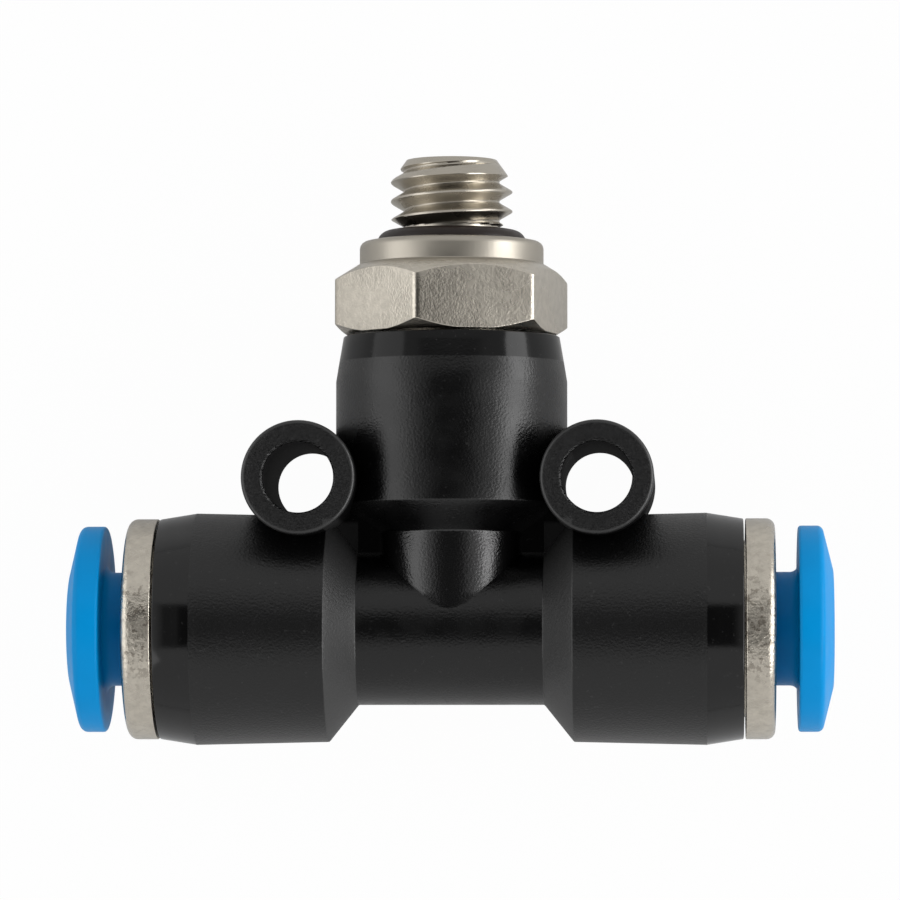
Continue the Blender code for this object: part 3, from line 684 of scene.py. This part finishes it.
def plated_brass(finishes, name, brushed, mottle):
    """Nickel plating over turned brass: cloudy, brushed along one axis and mottled.

    Brushed is the scale of the brushing's noise along each axis, small along its lines, and mottle
    is the mottling's depth. Gives the finish with its colour, roughness and normal, for the
    piece's own wear.
    """
    finish = Finish(name, finishes.nickel, finishes.nickel_rough, 1.0)
    blobs = finish.noise(0.35 * MM, detail=4.0, rough=0.65)
    clouds = finish.noise(2.0 * MM)
    lines = finish.noise(1.0, detail=3.0, rough=0.6, place=finish.stretched(brushed))
    base = finish.mixed(finish.varied(blobs), scaled(finishes.nickel, 0.9),
                        scaled(finishes.nickel, 1.06))
    rough = finish.varied(clouds, finishes.nickel_rough - 0.04, finishes.nickel_rough + 0.08)
    return finish, base, rough, finish.bump(blobs, mottle, finish.bump(lines, 2.0e-6))


def collar_plating(finishes):
    """Plating of the collars, pitted round their middle height, which faces up; the pits there are
    painted darker, partly tarnish and partly painted shade.
    """
    finish, base, rough, normal = plated_brass(finishes, "plated_collar",
                                               brushed=(900.0, 4000.0, 4000.0), mottle=1.6e-5)
    off_middle = finish.off(finish.parts()[Y], TEE[Y])
    # The band that faces up, where the pits are painted darker: partly tarnish, partly painted shade
    # of the dark reflection from above
    band = finish.between(off_middle, 2.8 * MM, 0.9 * MM, to_low=0.15)
    pits = finish.noise(0.30 * MM, detail=4.0, rough=0.7)
    tarnish_and_shade = finish.product(band, finish.between(pits, 0.52, 0.60, to_high=0.75))
    finish.link(finish.mixed(tarnish_and_shade, base, finishes.tarnish_and_shade), "Base Color")
    finish.link(finish.math("ADD", rough, finish.product(band, 0.02)), "Roughness")
    finish.link(finish.bump(pits, finish.product(band, 5e-5), normal), "Normal")
    return finish.material


def stub_plating(finishes, sizes):
    """Plating of the stub: gritty hexagon, softly shining flange and darker thread."""
    finish, base, rough, normal = plated_brass(finishes, "plated_stub",
                                               brushed=(9000.0, 500.0, 9000.0), mottle=3e-6)
    up = finish.math("SUBTRACT", finish.parts()[Y], TEE[Y])
    above_hexagon = finish.edge(up, sizes.hex_end, -0.25, -0.15)
    above_flange = finish.edge(up, sizes.flange_end, -0.05, 0.05)
    flange = finish.math("SUBTRACT", above_hexagon, above_flange)
    base = finish.mixed(flange, base, scaled(finishes.nickel, 0.72))
    finish.link(finish.mixed(above_flange, base, scaled(finishes.nickel, 0.80)), "Base Color")
    finish.link(finish.math("ADD", rough, finish.product(flange, 0.11)), "Roughness")
    grit = finish.noise(0.11 * MM, detail=3.0, rough=0.6)
    grit_depth = finish.blend(above_hexagon, outside=1.3e-5, inside=5e-7)
    finish.link(finish.bump(grit, grit_depth, normal), "Normal")
    return finish.material


def blue_plastic(finishes):
    """Semi-gloss moulded plastic with a faint grain."""
    finish = Finish("blue_plastic", finishes.blue, finishes.blue_rough)
    finish.shader.inputs["Specular IOR Level"].default_value = 0.11
    clouds = finish.noise(1.2 * MM)
    finish.link(finish.mixed(clouds, scaled(finishes.blue, 0.95), scaled(finishes.blue, 1.05)),
                "Base Color")
    finish.link(finish.varied(clouds, finishes.blue_rough - 0.03, finishes.blue_rough + 0.04),
                "Roughness")
    finish.link(finish.bump(finish.noise(0.12 * MM), 1.2e-6), "Normal")
    return finish.material


def plain_finish(name, base, rough, grain, metallic=0.0, shine=0.5):
    """A small piece's finish: colour and roughness vary a little over a fine grain."""
    finish = Finish(name, base, rough, metallic)
    finish.shader.inputs["Specular IOR Level"].default_value = shine
    blobs = finish.noise(grain)
    finish.link(finish.mixed(blobs, scaled(base, 0.85), scaled(base, 1.15)), "Base Color")
    finish.link(finish.varied(blobs, rough - 0.06, rough + 0.06), "Roughness")
    finish.link(finish.bump(blobs, grain / 40.0), "Normal")
    return finish.material


# Housing

def run_surface(sizes):
    """Both barrels, which draw in a little towards their cones, and the waist between them."""
    cone_end = sizes.waist_half + sizes.cone
    half = rounded([(0, sizes.barrel_end, 0), (sizes.barrel_end_radius, sizes.barrel_end, 0.06 * MM),
                    (sizes.radius, sizes.barrel_end - sizes.barrel_taper, 0),
                    (sizes.radius - sizes.barrel_draft, cone_end, sizes.edge),
                    (sizes.waist_radius, sizes.waist_half, sizes.edge), (sizes.waist_radius, 0, 0)])
    return grid_mesh("run", turned(both_ways(denser(half, step=0.5 * MM)),
                                   round_angles(sizes.columns), X))


def stem_surface(sizes):
    """Core, cone and stem up to the face below the hexagon."""
    shoulder = sizes.stem_top - sizes.stem_shoulder
    path = rounded([(0, sizes.stem_top, 0), (sizes.stem_end_radius, sizes.stem_top, 0.06 * MM),
                    (sizes.stem_shoulder_radius, shoulder, 0),
                    (sizes.radius, sizes.stem_top - sizes.stem_taper, 0),
                    (sizes.radius, sizes.core_length + sizes.stem_cone, sizes.edge),
                    (sizes.core_radius, sizes.core_length, sizes.edge),
                    (sizes.core_radius, 0, 0), (0, 0, 0)])
    return grid_mesh("stem", turned(denser(path, step=0.5 * MM), round_angles(sizes.columns), Y))


def run_bore(sizes):
    """What is open inside the run: collar seats, seal pockets, tube sockets and the passage."""
    half = path_rows([(0, sizes.barrel_end + OVERRUN),
                      (COLLAR_SEAT_RADIUS, sizes.barrel_end + OVERRUN),
                      (COLLAR_SEAT_RADIUS, SEAL_POCKET_END), (SEAL_POCKET_RADIUS, SEAL_POCKET_END),
                      (SEAL_POCKET_RADIUS, SEAL_POCKET_START),
                      (TUBE_BORE_RADIUS, SEAL_POCKET_START), (TUBE_BORE_RADIUS, TUBE_STOP),
                      (PASSAGE_RADIUS, TUBE_STOP)], 1)
    return grid_mesh("run_bore", turned(both_ways(half), round_angles(BORE_COLUMNS), X))


def stem_bore(sizes):
    """What is open inside the stem: the swivel bore, its clip groove and the passage."""
    path = path_rows([(0, sizes.stem_top + OVERRUN), (STEM_BORE_RADIUS, sizes.stem_top + OVERRUN),
                      *groove(STEM_BORE_RADIUS, CLIP_GROOVE_RADIUS, *reversed(CLIP_GROOVE)),
                      (STEM_BORE_RADIUS, STEM_BORE_FLOOR), (BRANCH_RADIUS, STEM_BORE_FLOOR),
                      (BRANCH_RADIUS, 0), (0, 0)], 1)
    return grid_mesh("stem_bore", turned(path, round_angles(BORE_COLUMNS), Y))


def eye_surfaces(sizes, sign):
    """A mounting eye with rounded rims, and the hole that is cut through it."""
    centre = TEE + np.array([sign * sizes.eye_x, sizes.eye_y, 0.0])
    wall = rounded([(0, sizes.eye_half, 0), (sizes.eye_radius, sizes.eye_half, sizes.rim),
                    (sizes.eye_radius, 0, 0)])
    flare = sizes.edge
    hole = rounded([(0, sizes.eye_half + OVERRUN, 0),
                    (sizes.eye_hole + 2 * flare, sizes.eye_half + OVERRUN, 0),
                    (sizes.eye_hole + 2 * flare, sizes.eye_half + flare, 0),
                    (sizes.eye_hole, sizes.eye_half - flare, flare), (sizes.eye_hole, 0, 0)])
    angles = round_angles(EYE_COLUMNS)
    return (grid_mesh("eye", turned(both_ways(denser(wall, step=0.5 * MM)), angles, Z, centre)),
            grid_mesh("eye_hole", turned(both_ways(hole), angles, Z, centre)))


def housing_mesh(sizes):
    """The moulding: run, stem, corner webs and eyes joined, then bored."""
    reach = np.array([sizes.eye_x, 0.0, sizes.web / 2])
    web = slab("corner_web", TEE - reach, TEE + reach + np.array([0.0, sizes.eye_y, 0.0]))
    eyes, holes = zip(*(eye_surfaces(sizes, sign) for _, sign in SIDES))
    return carved(run_surface(sizes), (stem_surface(sizes), web, *eyes),
                  (run_bore(sizes), stem_bore(sizes), *holes))


# Ports

def collar_mesh(sizes, sense):
    """Collar: flange with a rounded edge, and the hidden skirt whose cone wedges the claws."""
    inner, outer = SKIRT_RADII
    slope = (HEAD_CONE_END - HEAD_END) / (HEAD_RADIUS - sizes.neck_radius)
    cone_start = HEAD_END - (inner - HEAD_RADIUS - CONE_GAP) * slope
    cone_end = HEAD_CONE_END - (sizes.collar_bore - sizes.neck_radius - CONE_GAP) * slope
    chamfer = 0.36 * MM
    start = (sizes.collar_radius - 1.0 * MM, sizes.collar_end, 0)
    path = rounded([start, (sizes.collar_radius, sizes.collar_end, sizes.collar_edge),
                    (sizes.collar_radius, sizes.collar_start, SMALL_EDGE),
                    (outer, sizes.collar_start, 0), (outer, sizes.collar_foot, SMALL_EDGE),
                    (inner, sizes.collar_foot, SMALL_EDGE), (inner, cone_start, 0),
                    (sizes.collar_bore, cone_end, 0),
                    (sizes.collar_bore, sizes.collar_end - chamfer, SMALL_EDGE),
                    (sizes.collar_bore + chamfer, sizes.collar_end, SMALL_EDGE), start], steps=6)
    return grid_mesh("collar", turned(denser(path, step=0.3 * MM), round_angles(sizes.columns), X,
                                      sense=sense))


def claw_groove():
    """Corners of the leaning groove for the claws, from its foot at the bore round to its top."""
    along = np.array([np.cos(CLAW_LEAN), np.sin(CLAW_LEAN)])
    across = np.array([-np.sin(CLAW_LEAN), np.cos(CLAW_LEAN)])
    bite = np.array([CLAW_BITE_RADIUS, CLAW_BITE_HEIGHT])
    top = bite + CLAW_LENGTH * along
    corners = [top - CLAW_GROOVE_HALF * across, top + CLAW_GROOVE_HALF * across]
    rise = np.tan(CLAW_LEAN)
    feet = [(TUBE_BORE_RADIUS, corner[1] - (corner[0] - TUBE_BORE_RADIUS) * rise)
            for corner in corners]
    return [(*feet[0], 0), (*corners[0], 0), (*corners[1], 0), (*feet[1], 0)]


def release_ring_mesh(sizes, sense):
    """Release ring: disc with a low dome, neck, and a wedge-shaped head slit into four fingers."""
    rim_top = sizes.disc_start + sizes.disc_rim
    mouth = TUBE_BORE_RADIUS + sizes.mouth
    start = (TUBE_BORE_RADIUS, (sizes.nose + sizes.disc_end) / 2 + 1.5 * MM, 0)
    path = rounded([start, (TUBE_BORE_RADIUS, sizes.disc_end - sizes.mouth, 0.1 * MM),
                    (mouth, sizes.disc_end, 0.08 * MM), (sizes.dome_flat, sizes.disc_end, 0.15 * MM),
                    (sizes.disc_radius, rim_top, sizes.rim_outer),
                    (sizes.disc_radius, sizes.disc_start, sizes.rim_inner),
                    (sizes.neck_radius, sizes.disc_start, sizes.neck_fillet),
                    (sizes.neck_radius, HEAD_CONE_END, 0), (HEAD_RADIUS, HEAD_END, SMALL_EDGE),
                    (HEAD_RADIUS, HEAD_START, SMALL_EDGE), (HEAD_RADIUS - NOSE_TAPER, sizes.nose, 0),
                    (TUBE_BORE_RADIUS, sizes.nose, 0), *claw_groove(), start], steps=6)
    ring = grid_mesh("release_ring", turned(denser(path, step=0.4 * MM),
                                            round_angles(sizes.columns), X, sense=sense))
    reach = HEAD_RADIUS + OVERRUN
    low = np.array([sizes.nose - OVERRUN, -reach, -FINGER_SLIT / 2])
    high = np.array([SLIT_END, reach, FINGER_SLIT / 2])
    slits = []
    for degrees in (45, 135):
        slit = slab("slit", low, high)
        slit.transform(Matrix.Translation(TEE) @ Matrix.Scale(sense, 4, (1, 0, 0))
                       @ Matrix.Rotation(np.radians(degrees), 4, "X"))
        slits.append(closed(slit))
    return carved(ring, (), slits)


# Stub

def hexagon_radius(sizes, angles):
    """Distance from the axis to the hexagon's side at each angle.

    A flat gives half the width / cos(angle from its middle). Within a rounded corner the ray meets
    a circle of the corner's radius about a point on the corner's own ray.
    """
    half = sizes.hex_flats / 2
    corner = sizes.hex_edge
    sixth = np.pi / 3
    from_corner = np.abs((angles - sizes.hex_corner + sixth / 2) % sixth - sixth / 2)
    flat = half / np.cos(sixth / 2 - from_corner)
    centre = (half - corner) / np.cos(sixth / 2)
    under_root = corner ** 2 - (centre * np.sin(from_corner)) ** 2
    curved = centre * np.cos(from_corner) + np.sqrt(np.maximum(under_root, 0.0))
    touching = np.arctan2(centre * np.sin(sixth / 2), half)
    return np.where(sixth / 2 - from_corner > touching, curved, flat)


def stub_angles(sizes):
    """Angles of a full turn that crowd at the hexagon's six corners.

    Angle = t - crowding / 6 * sin(6 * (t - corner)), where t runs evenly round. A constant is
    added that makes the first angle 0.
    """
    even = round_angles(sizes.columns)
    return even - CORNER_CROWDING / 6 * (
        np.sin(6 * (even - sizes.hex_corner)) - np.sin(-6 * sizes.hex_corner))


def thread_rows(sizes, angles):
    """The thread between its foot and the tip, as rows of (radius, height) for each column.

    A row keeps its phase, so its height = phase - pitch * angle / full turn, which is a right-hand
    helix. The radius is the root plus the depth times a softly clipped flank, 1 at the crest and 0
    at the root, and is cut off by the cone of the tip and by the run-out cone at the foot. Rows
    that leave the thread are held at its ends.
    """
    foot = sizes.thread_foot - GROOVE_BELOW_THREAD
    turns = int(np.ceil((sizes.tip - foot) / sizes.thread_pitch)) + 2
    first = sizes.thread_crest - sizes.thread_pitch * np.ceil(
        (sizes.thread_crest - foot) / sizes.thread_pitch)
    row = np.arange(turns * ROWS_PER_PITCH + 1)[:, None]
    phase = first + sizes.thread_pitch * row / ROWS_PER_PITCH
    height = phase - sizes.thread_pitch * angles / FULL_TURN
    offset = np.abs((phase - sizes.thread_crest + sizes.thread_pitch / 2) % sizes.thread_pitch
                    - sizes.thread_pitch / 2)
    depth = sizes.thread_radius - sizes.thread_root
    flank = (FLANK_FOOT - offset) / FLANK_WIDTH
    soft = FLANK_SOFTNESS ** 2
    lift = (np.sqrt(flank ** 2 + soft) - np.sqrt((flank - 1) ** 2 + soft) + 1) / 2
    radius = sizes.thread_root + depth * np.clip(lift, 0.0, 1.0)
    tip_cone = sizes.tip_radius + (sizes.tip - height) * (
        sizes.thread_radius - sizes.tip_radius) / sizes.tip_chamfer
    run_out = sizes.thread_root + np.maximum(height - sizes.thread_foot, 0.0) * RUN_OUT_SLOPE
    radius = np.minimum(radius, np.minimum(tip_cone, run_out))
    radius = np.where(height >= sizes.tip, sizes.tip_radius, radius)
    radius = np.where(height <= foot, sizes.thread_root, radius)
    return np.stack([radius, np.clip(height, foot, sizes.tip)], axis=1)


def stub_mesh(sizes):
    """The whole stub as one grid: journal, hexagon, flange, seal recess, thread, tip and bore."""
    angles = stub_angles(sizes)
    columns = len(angles)
    side = hexagon_radius(sizes, angles)
    low = np.minimum(sizes.hex_low, side - LOW_EDGE_INSET)
    slope = np.tan(sizes.hex_slope)
    step = sizes.flange_radius - sizes.hex_high
    start = (STUB_BORE_RADIUS, sizes.journal_end, 0)
    lower = rounded([
        start, (JOURNAL_RADIUS, sizes.journal_end, 0.1 * MM),
        *groove(JOURNAL_RADIUS, RING_GROOVE_RADIUS, *RING_GROOVE),
        *groove(JOURNAL_RADIUS, CLIP_ROOT_RADIUS, *CLIP_GROOVE), (JOURNAL_RADIUS, sizes.hex_start, 0),
        (low, sizes.hex_start, 0.01 * MM), (side, sizes.hex_start + (side - low) * slope, SMALL_EDGE),
        (side, sizes.hex_end - (side - sizes.hex_high) * slope, 0.06 * MM),
        (sizes.flange_radius, sizes.hex_end - step * slope, SMALL_EDGE),
        (sizes.flange_radius, sizes.flange_end, sizes.flange_edge),
        (sizes.recess_radius, sizes.flange_end, 0.04 * MM),
        (sizes.recess_radius, sizes.recess_floor, SMALL_EDGE),
        (sizes.thread_root, sizes.recess_floor, 0)], columns)
    upper = rounded([
        (sizes.tip_radius, sizes.tip, 0),
        (STUB_BORE_RADIUS + TIP_BORE_CHAMFER, sizes.tip, 0.03 * MM),
        (STUB_BORE_RADIUS, sizes.tip - TIP_BORE_CHAMFER, 0.03 * MM), start], columns)
    path = np.concatenate([lower, thread_rows(sizes, angles), upper])
    return grid_mesh("stub", turned(path, angles, Y))


def seal_ring_mesh(sizes):
    """The O-ring at the foot of the thread: a circle carried round the stub."""
    low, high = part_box("thread_seal_ring")
    section = (high[Y] - low[Y]) / 2
    middle = (high[Y] + low[Y]) / 2 - TEE[Y]
    outer = (high[X] - low[X]) / 2
    tilt = round_angles(SECTION_COLUMNS)
    path = np.stack([outer - section + section * np.cos(tilt), middle + section * np.sin(tilt)],
                    axis=1)[..., None]
    return grid_mesh("seal_ring", turned(path, round_angles(sizes.columns // 2), Y))


# Studio

def studio_world(studio):
    """White to the camera. To everything else it is grey with a dark patch above the object.

    The patch is where X and Y of the direction are small. It reaches further towards +Y.
    """
    world = bpy.data.worlds.new("studio")
    bpy.context.scene.world = world
    world.use_nodes = True
    tree = world.node_tree
    tree.nodes.clear()

    def node(kind, inputs, **settings):
        return add_node(tree, kind, inputs, **settings)

    direction = node("SeparateXYZ", {0: node("TexCoord", {}).outputs["Generated"]}).outputs
    masks = []
    for axis, middle, edge_start, edge_end in ((X, 0.0, 0.32, 0.60), (Y, 0.03, 0.31, 0.40)):
        offset = node("Math", {0: direction[axis], 1: middle}, operation="SUBTRACT").outputs[0]
        size = node("Math", {0: offset}, operation="ABSOLUTE").outputs[0]
        masks.append(node("MapRange", {"Value": size, "From Min": edge_start, "From Max": edge_end},
                          interpolation_type="SMOOTHSTEP").outputs[0])
    beside = node("Math", {0: masks[0], 1: masks[1]}, operation="MAXIMUM").outputs[0]
    light = node("MapRange", {"Value": beside, "To Min": studio.front, "To Max": studio.surround})
    grey = node("Background", {"Color": light.outputs[0], "Strength": 1.0})
    white = node("Background", {"Color": (1.0, 1.0, 1.0, 1.0), "Strength": 1.0})
    rays = node("LightPath", {}).outputs
    seen = node("Math", {0: rays["Is Camera Ray"], 1: rays["Is Transmission Ray"]},
                operation="MAXIMUM").outputs[0]
    mix = node("MixShader", {0: seen, 1: grey.outputs[0], 2: white.outputs[0]})
    node("OutputWorld", {"Surface": mix.outputs[0]})


def studio_floor(studio):
    """A large pale floor that the camera sees as nearly white, with the object's shadow on it."""
    far = FLOOR_REACH
    corners = [(-far, -far, 0.0), (far, -far, 0.0), (far, far, 0.0), (-far, far, 0.0)]
    mesh = bpy.data.meshes.new("floor")
    mesh.from_pydata(corners, [], [(0, 1, 2, 3)])
    finish = Finish("pale_floor", studio.floor, rough=0.9)
    rays = finish.node("LightPath", {}).outputs
    mirrored = finish.math("MAXIMUM", rays["Is Glossy Ray"], rays["Is Transmission Ray"])
    seen = finish.math("MAXIMUM", finish.product(rays["Is Camera Ray"], studio.floor_glow),
                       finish.product(mirrored, FLOOR_IN_MIRRORS))
    glow = finish.node("Emission", {"Color": (1.0, 1.0, 1.0, 1.0), "Strength": 1.0}).outputs[0]
    mix = finish.node("MixShader", {0: seen, 1: finish.shader.outputs[0], 2: glow}).outputs[0]
    finish.tree.links.new(mix, finish.tree.nodes["Material Output"].inputs["Surface"])
    mesh.materials.append(finish.material)
    floor = bpy.data.objects.new("floor", mesh)
    bpy.context.scene.collection.objects.link(floor)


def softbox(name, degrees, width, roll, radiance):
    """A long lamp that faces the tee centre from one side.

    It stands at an angle from straight above towards +X, and is rolled about its line of sight.
    Its power is radiance * pi * area.
    """
    lamp = bpy.data.lights.new(name, "AREA")
    lamp.shape = "RECTANGLE"
    lamp.size, lamp.size_y = width, SOFTBOX_LENGTH
    lamp.energy = radiance * np.pi * lamp.size * lamp.size_y
    thing = bpy.data.objects.new(name, lamp)
    angle = np.radians(degrees)
    place = SOFTBOX_DISTANCE * Vector((np.sin(angle), 0.0, np.cos(angle)))
    thing.matrix_world = (Matrix.Translation(place + Vector(TEE)) @ facing(-place)
                          @ Matrix.Rotation(np.radians(roll), 4, "Z"))
    bpy.context.scene.collection.objects.link(thing)


def facing(direction):
    """Rotation whose local -Z points along a direction and whose local Y stays near world +Y."""
    back = -direction.normalized()
    right = Vector((0.0, 1.0, 0.0)).cross(back).normalized()
    return Matrix((right, back.cross(right), back)).transposed().to_4x4()


def studio_camera(studio):
    """The camera above the fitting, at the photo's viewing angle."""
    data = bpy.data.cameras.new("camera")
    data.lens = studio.lens
    data.sensor_width = 36.0
    data.clip_start, data.clip_end = 0.01, 10.0
    camera = bpy.data.objects.new("camera", data)
    place = Vector(studio.eye)
    camera.matrix_world = Matrix.Translation(place + Vector(TEE)) @ facing(Vector(studio.aim) - place)
    bpy.context.scene.collection.objects.link(camera)
    bpy.context.scene.camera = camera


# Operators

class TEE_OT_stage(Operator):
    """Sets up the white studio: world, floor, two softboxes and the camera"""

    bl_idname = "tee_fitting.stage"
    bl_label = "Build studio"

    def execute(self, context):
        studio = context.scene.tee_studio
        context.scene.view_settings.view_transform = "Standard"
        studio_world(studio)
        studio_floor(studio)
        softbox("right_softbox", degrees=66.0, width=0.14, roll=-24.0, radiance=studio.right_box)
        softbox("left_softbox", degrees=-63.0, width=0.21, roll=18.0, radiance=studio.left_box)
        studio_camera(studio)
        return {"FINISHED"}


class TEE_OT_housing(Operator):
    """Builds the black moulding with its barrels, stem, webs and mounting eyes"""

    bl_idname = "tee_fitting.housing"
    bl_label = "Build housing"

    def execute(self, context):
        sizes = context.scene.tee_housing
        finish = black_plastic(context.scene.tee_finishes, sizes)
        add_piece("moulded_housing", housing_mesh(sizes), finish, "housing",
                  "housing")
        return {"FINISHED"}


class TEE_OT_collars(Operator):
    """Builds the two plated collars at the ends of the run"""

    bl_idname = "tee_fitting.collars"
    bl_label = "Build collars"

    def execute(self, context):
        finish = collar_plating(context.scene.tee_finishes)
        for side, sign in SIDES:
            mesh = collar_mesh(context.scene.tee_ports, sign)
            add_piece(side + "_metal_collar", mesh, finish, "housing",
                      side + "_collar")
        return {"FINISHED"}


class TEE_OT_release_rings(Operator):
    """Builds the two blue release rings with their four slit fingers"""

    bl_idname = "tee_fitting.release_rings"
    bl_label = "Build release rings"

    def execute(self, context):
        finish = blue_plastic(context.scene.tee_finishes)
        for side, sign in SIDES:
            mesh = release_ring_mesh(context.scene.tee_ports, sign)
            add_piece(side + "_blue_ring", mesh, finish, side + "_release",
                      side + "_release_ring")
        return {"FINISHED"}


class TEE_OT_stub(Operator):
    """Builds the plated stub with its hexagon, flange and right-hand thread"""

    bl_idname = "tee_fitting.stub"
    bl_label = "Build threaded stub"

    def execute(self, context):
        sizes = context.scene.tee_stub
        finish = stub_plating(context.scene.tee_finishes, sizes)
        add_piece("turned_stub", stub_mesh(sizes), finish, "stub",
                  "threaded_stub")
        return {"FINISHED"}


class TEE_OT_seal_ring(Operator):
    """Builds the black O-ring at the foot of the thread"""

    bl_idname = "tee_fitting.seal_ring"
    bl_label = "Build thread seal ring"

    def execute(self, context):
        rubber = context.scene.tee_finishes.rubber
        finish = plain_finish("black_seal_ring", rubber, rough=0.40, grain=0.15 * MM, shine=0.34)
        add_piece("stub_seal_ring", seal_ring_mesh(context.scene.tee_stub), finish, "stub",
                  "thread_seal_ring")
        return {"FINISHED"}


class TEE_OT_inner_pieces(Operator):
    """Gives the hidden claws, clip, seals and back-up rings their finishes"""

    bl_idname = "tee_fitting.inner_pieces"
    bl_label = "Finish inner pieces"

    def execute(self, context):
        finishes = context.scene.tee_finishes
        made = {
            "spring_steel": plain_finish("spring_steel", finishes.steel, rough=0.25,
                                         grain=0.2 * MM, metallic=1.0),
            "black_rubber": plain_finish("inner_rubber", finishes.rubber, rough=0.5,
                                         grain=0.15 * MM),
            "white_plastic": plain_finish("white_plastic", finishes.white, rough=0.45,
                                          grain=0.3 * MM),
        }
        slots = {part["node"]: part["material_slot"] for part in frame["record"]["subparts"]}
        for name, node in frame["nodes"].items():
            if slots[name] in made and not node.hide_render:
                node.data.materials.clear()
                node.data.materials.append(made[slots[name]])
        return {"FINISHED"}


class TEE_PT_panel(Panel):
    """Lists the fitting's operators and sizes"""

    bl_idname = "TEE_PT_panel"
    bl_label = "Push-to-connect tee fitting"
    bl_space_type = "VIEW_3D"
    bl_region_type = "UI"
    bl_category = "Tee fitting"

    def draw(self, context):
        for operator in OPERATORS:
            self.layout.operator(operator.bl_idname)
        for name, group in SETTINGS.items():
            box = self.layout.box()
            box.label(text=group.__doc__)
            for value in group.__annotations__:
                box.prop(getattr(context.scene, name), value)


SETTINGS = {"tee_studio": StudioSettings, "tee_housing": HousingSizes, "tee_ports": PortSizes,
            "tee_stub": StubSizes, "tee_finishes": FinishColours}
OPERATORS = (TEE_OT_stage, TEE_OT_housing, TEE_OT_collars, TEE_OT_release_rings, TEE_OT_stub,
             TEE_OT_seal_ring, TEE_OT_inner_pieces)


def register():
    """Adds the settings, the operators and the panel to Blender."""
    for kind in (*SETTINGS.values(), *OPERATORS, TEE_PT_panel):
        bpy.utils.register_class(kind)
    for name, group in SETTINGS.items():
        setattr(bpy.types.Scene, name, PointerProperty(type=group))


def unregister():
    """Takes them out again."""
    for name in SETTINGS:
        delattr(bpy.types.Scene, name)
    for kind in (TEE_PT_panel, *reversed(OPERATORS), *reversed(SETTINGS.values())):
        bpy.utils.unregister_class(kind)


def main():
    """Builds everything."""
    register()
    bpy.ops.tee_fitting.stage()
    bpy.ops.tee_fitting.housing()
    bpy.ops.tee_fitting.collars()
    bpy.ops.tee_fitting.release_rings()
    bpy.ops.tee_fitting.stub()
    bpy.ops.tee_fitting.seal_ring()
    bpy.ops.tee_fitting.inner_pieces()


if __name__ == "__main__":
    main()
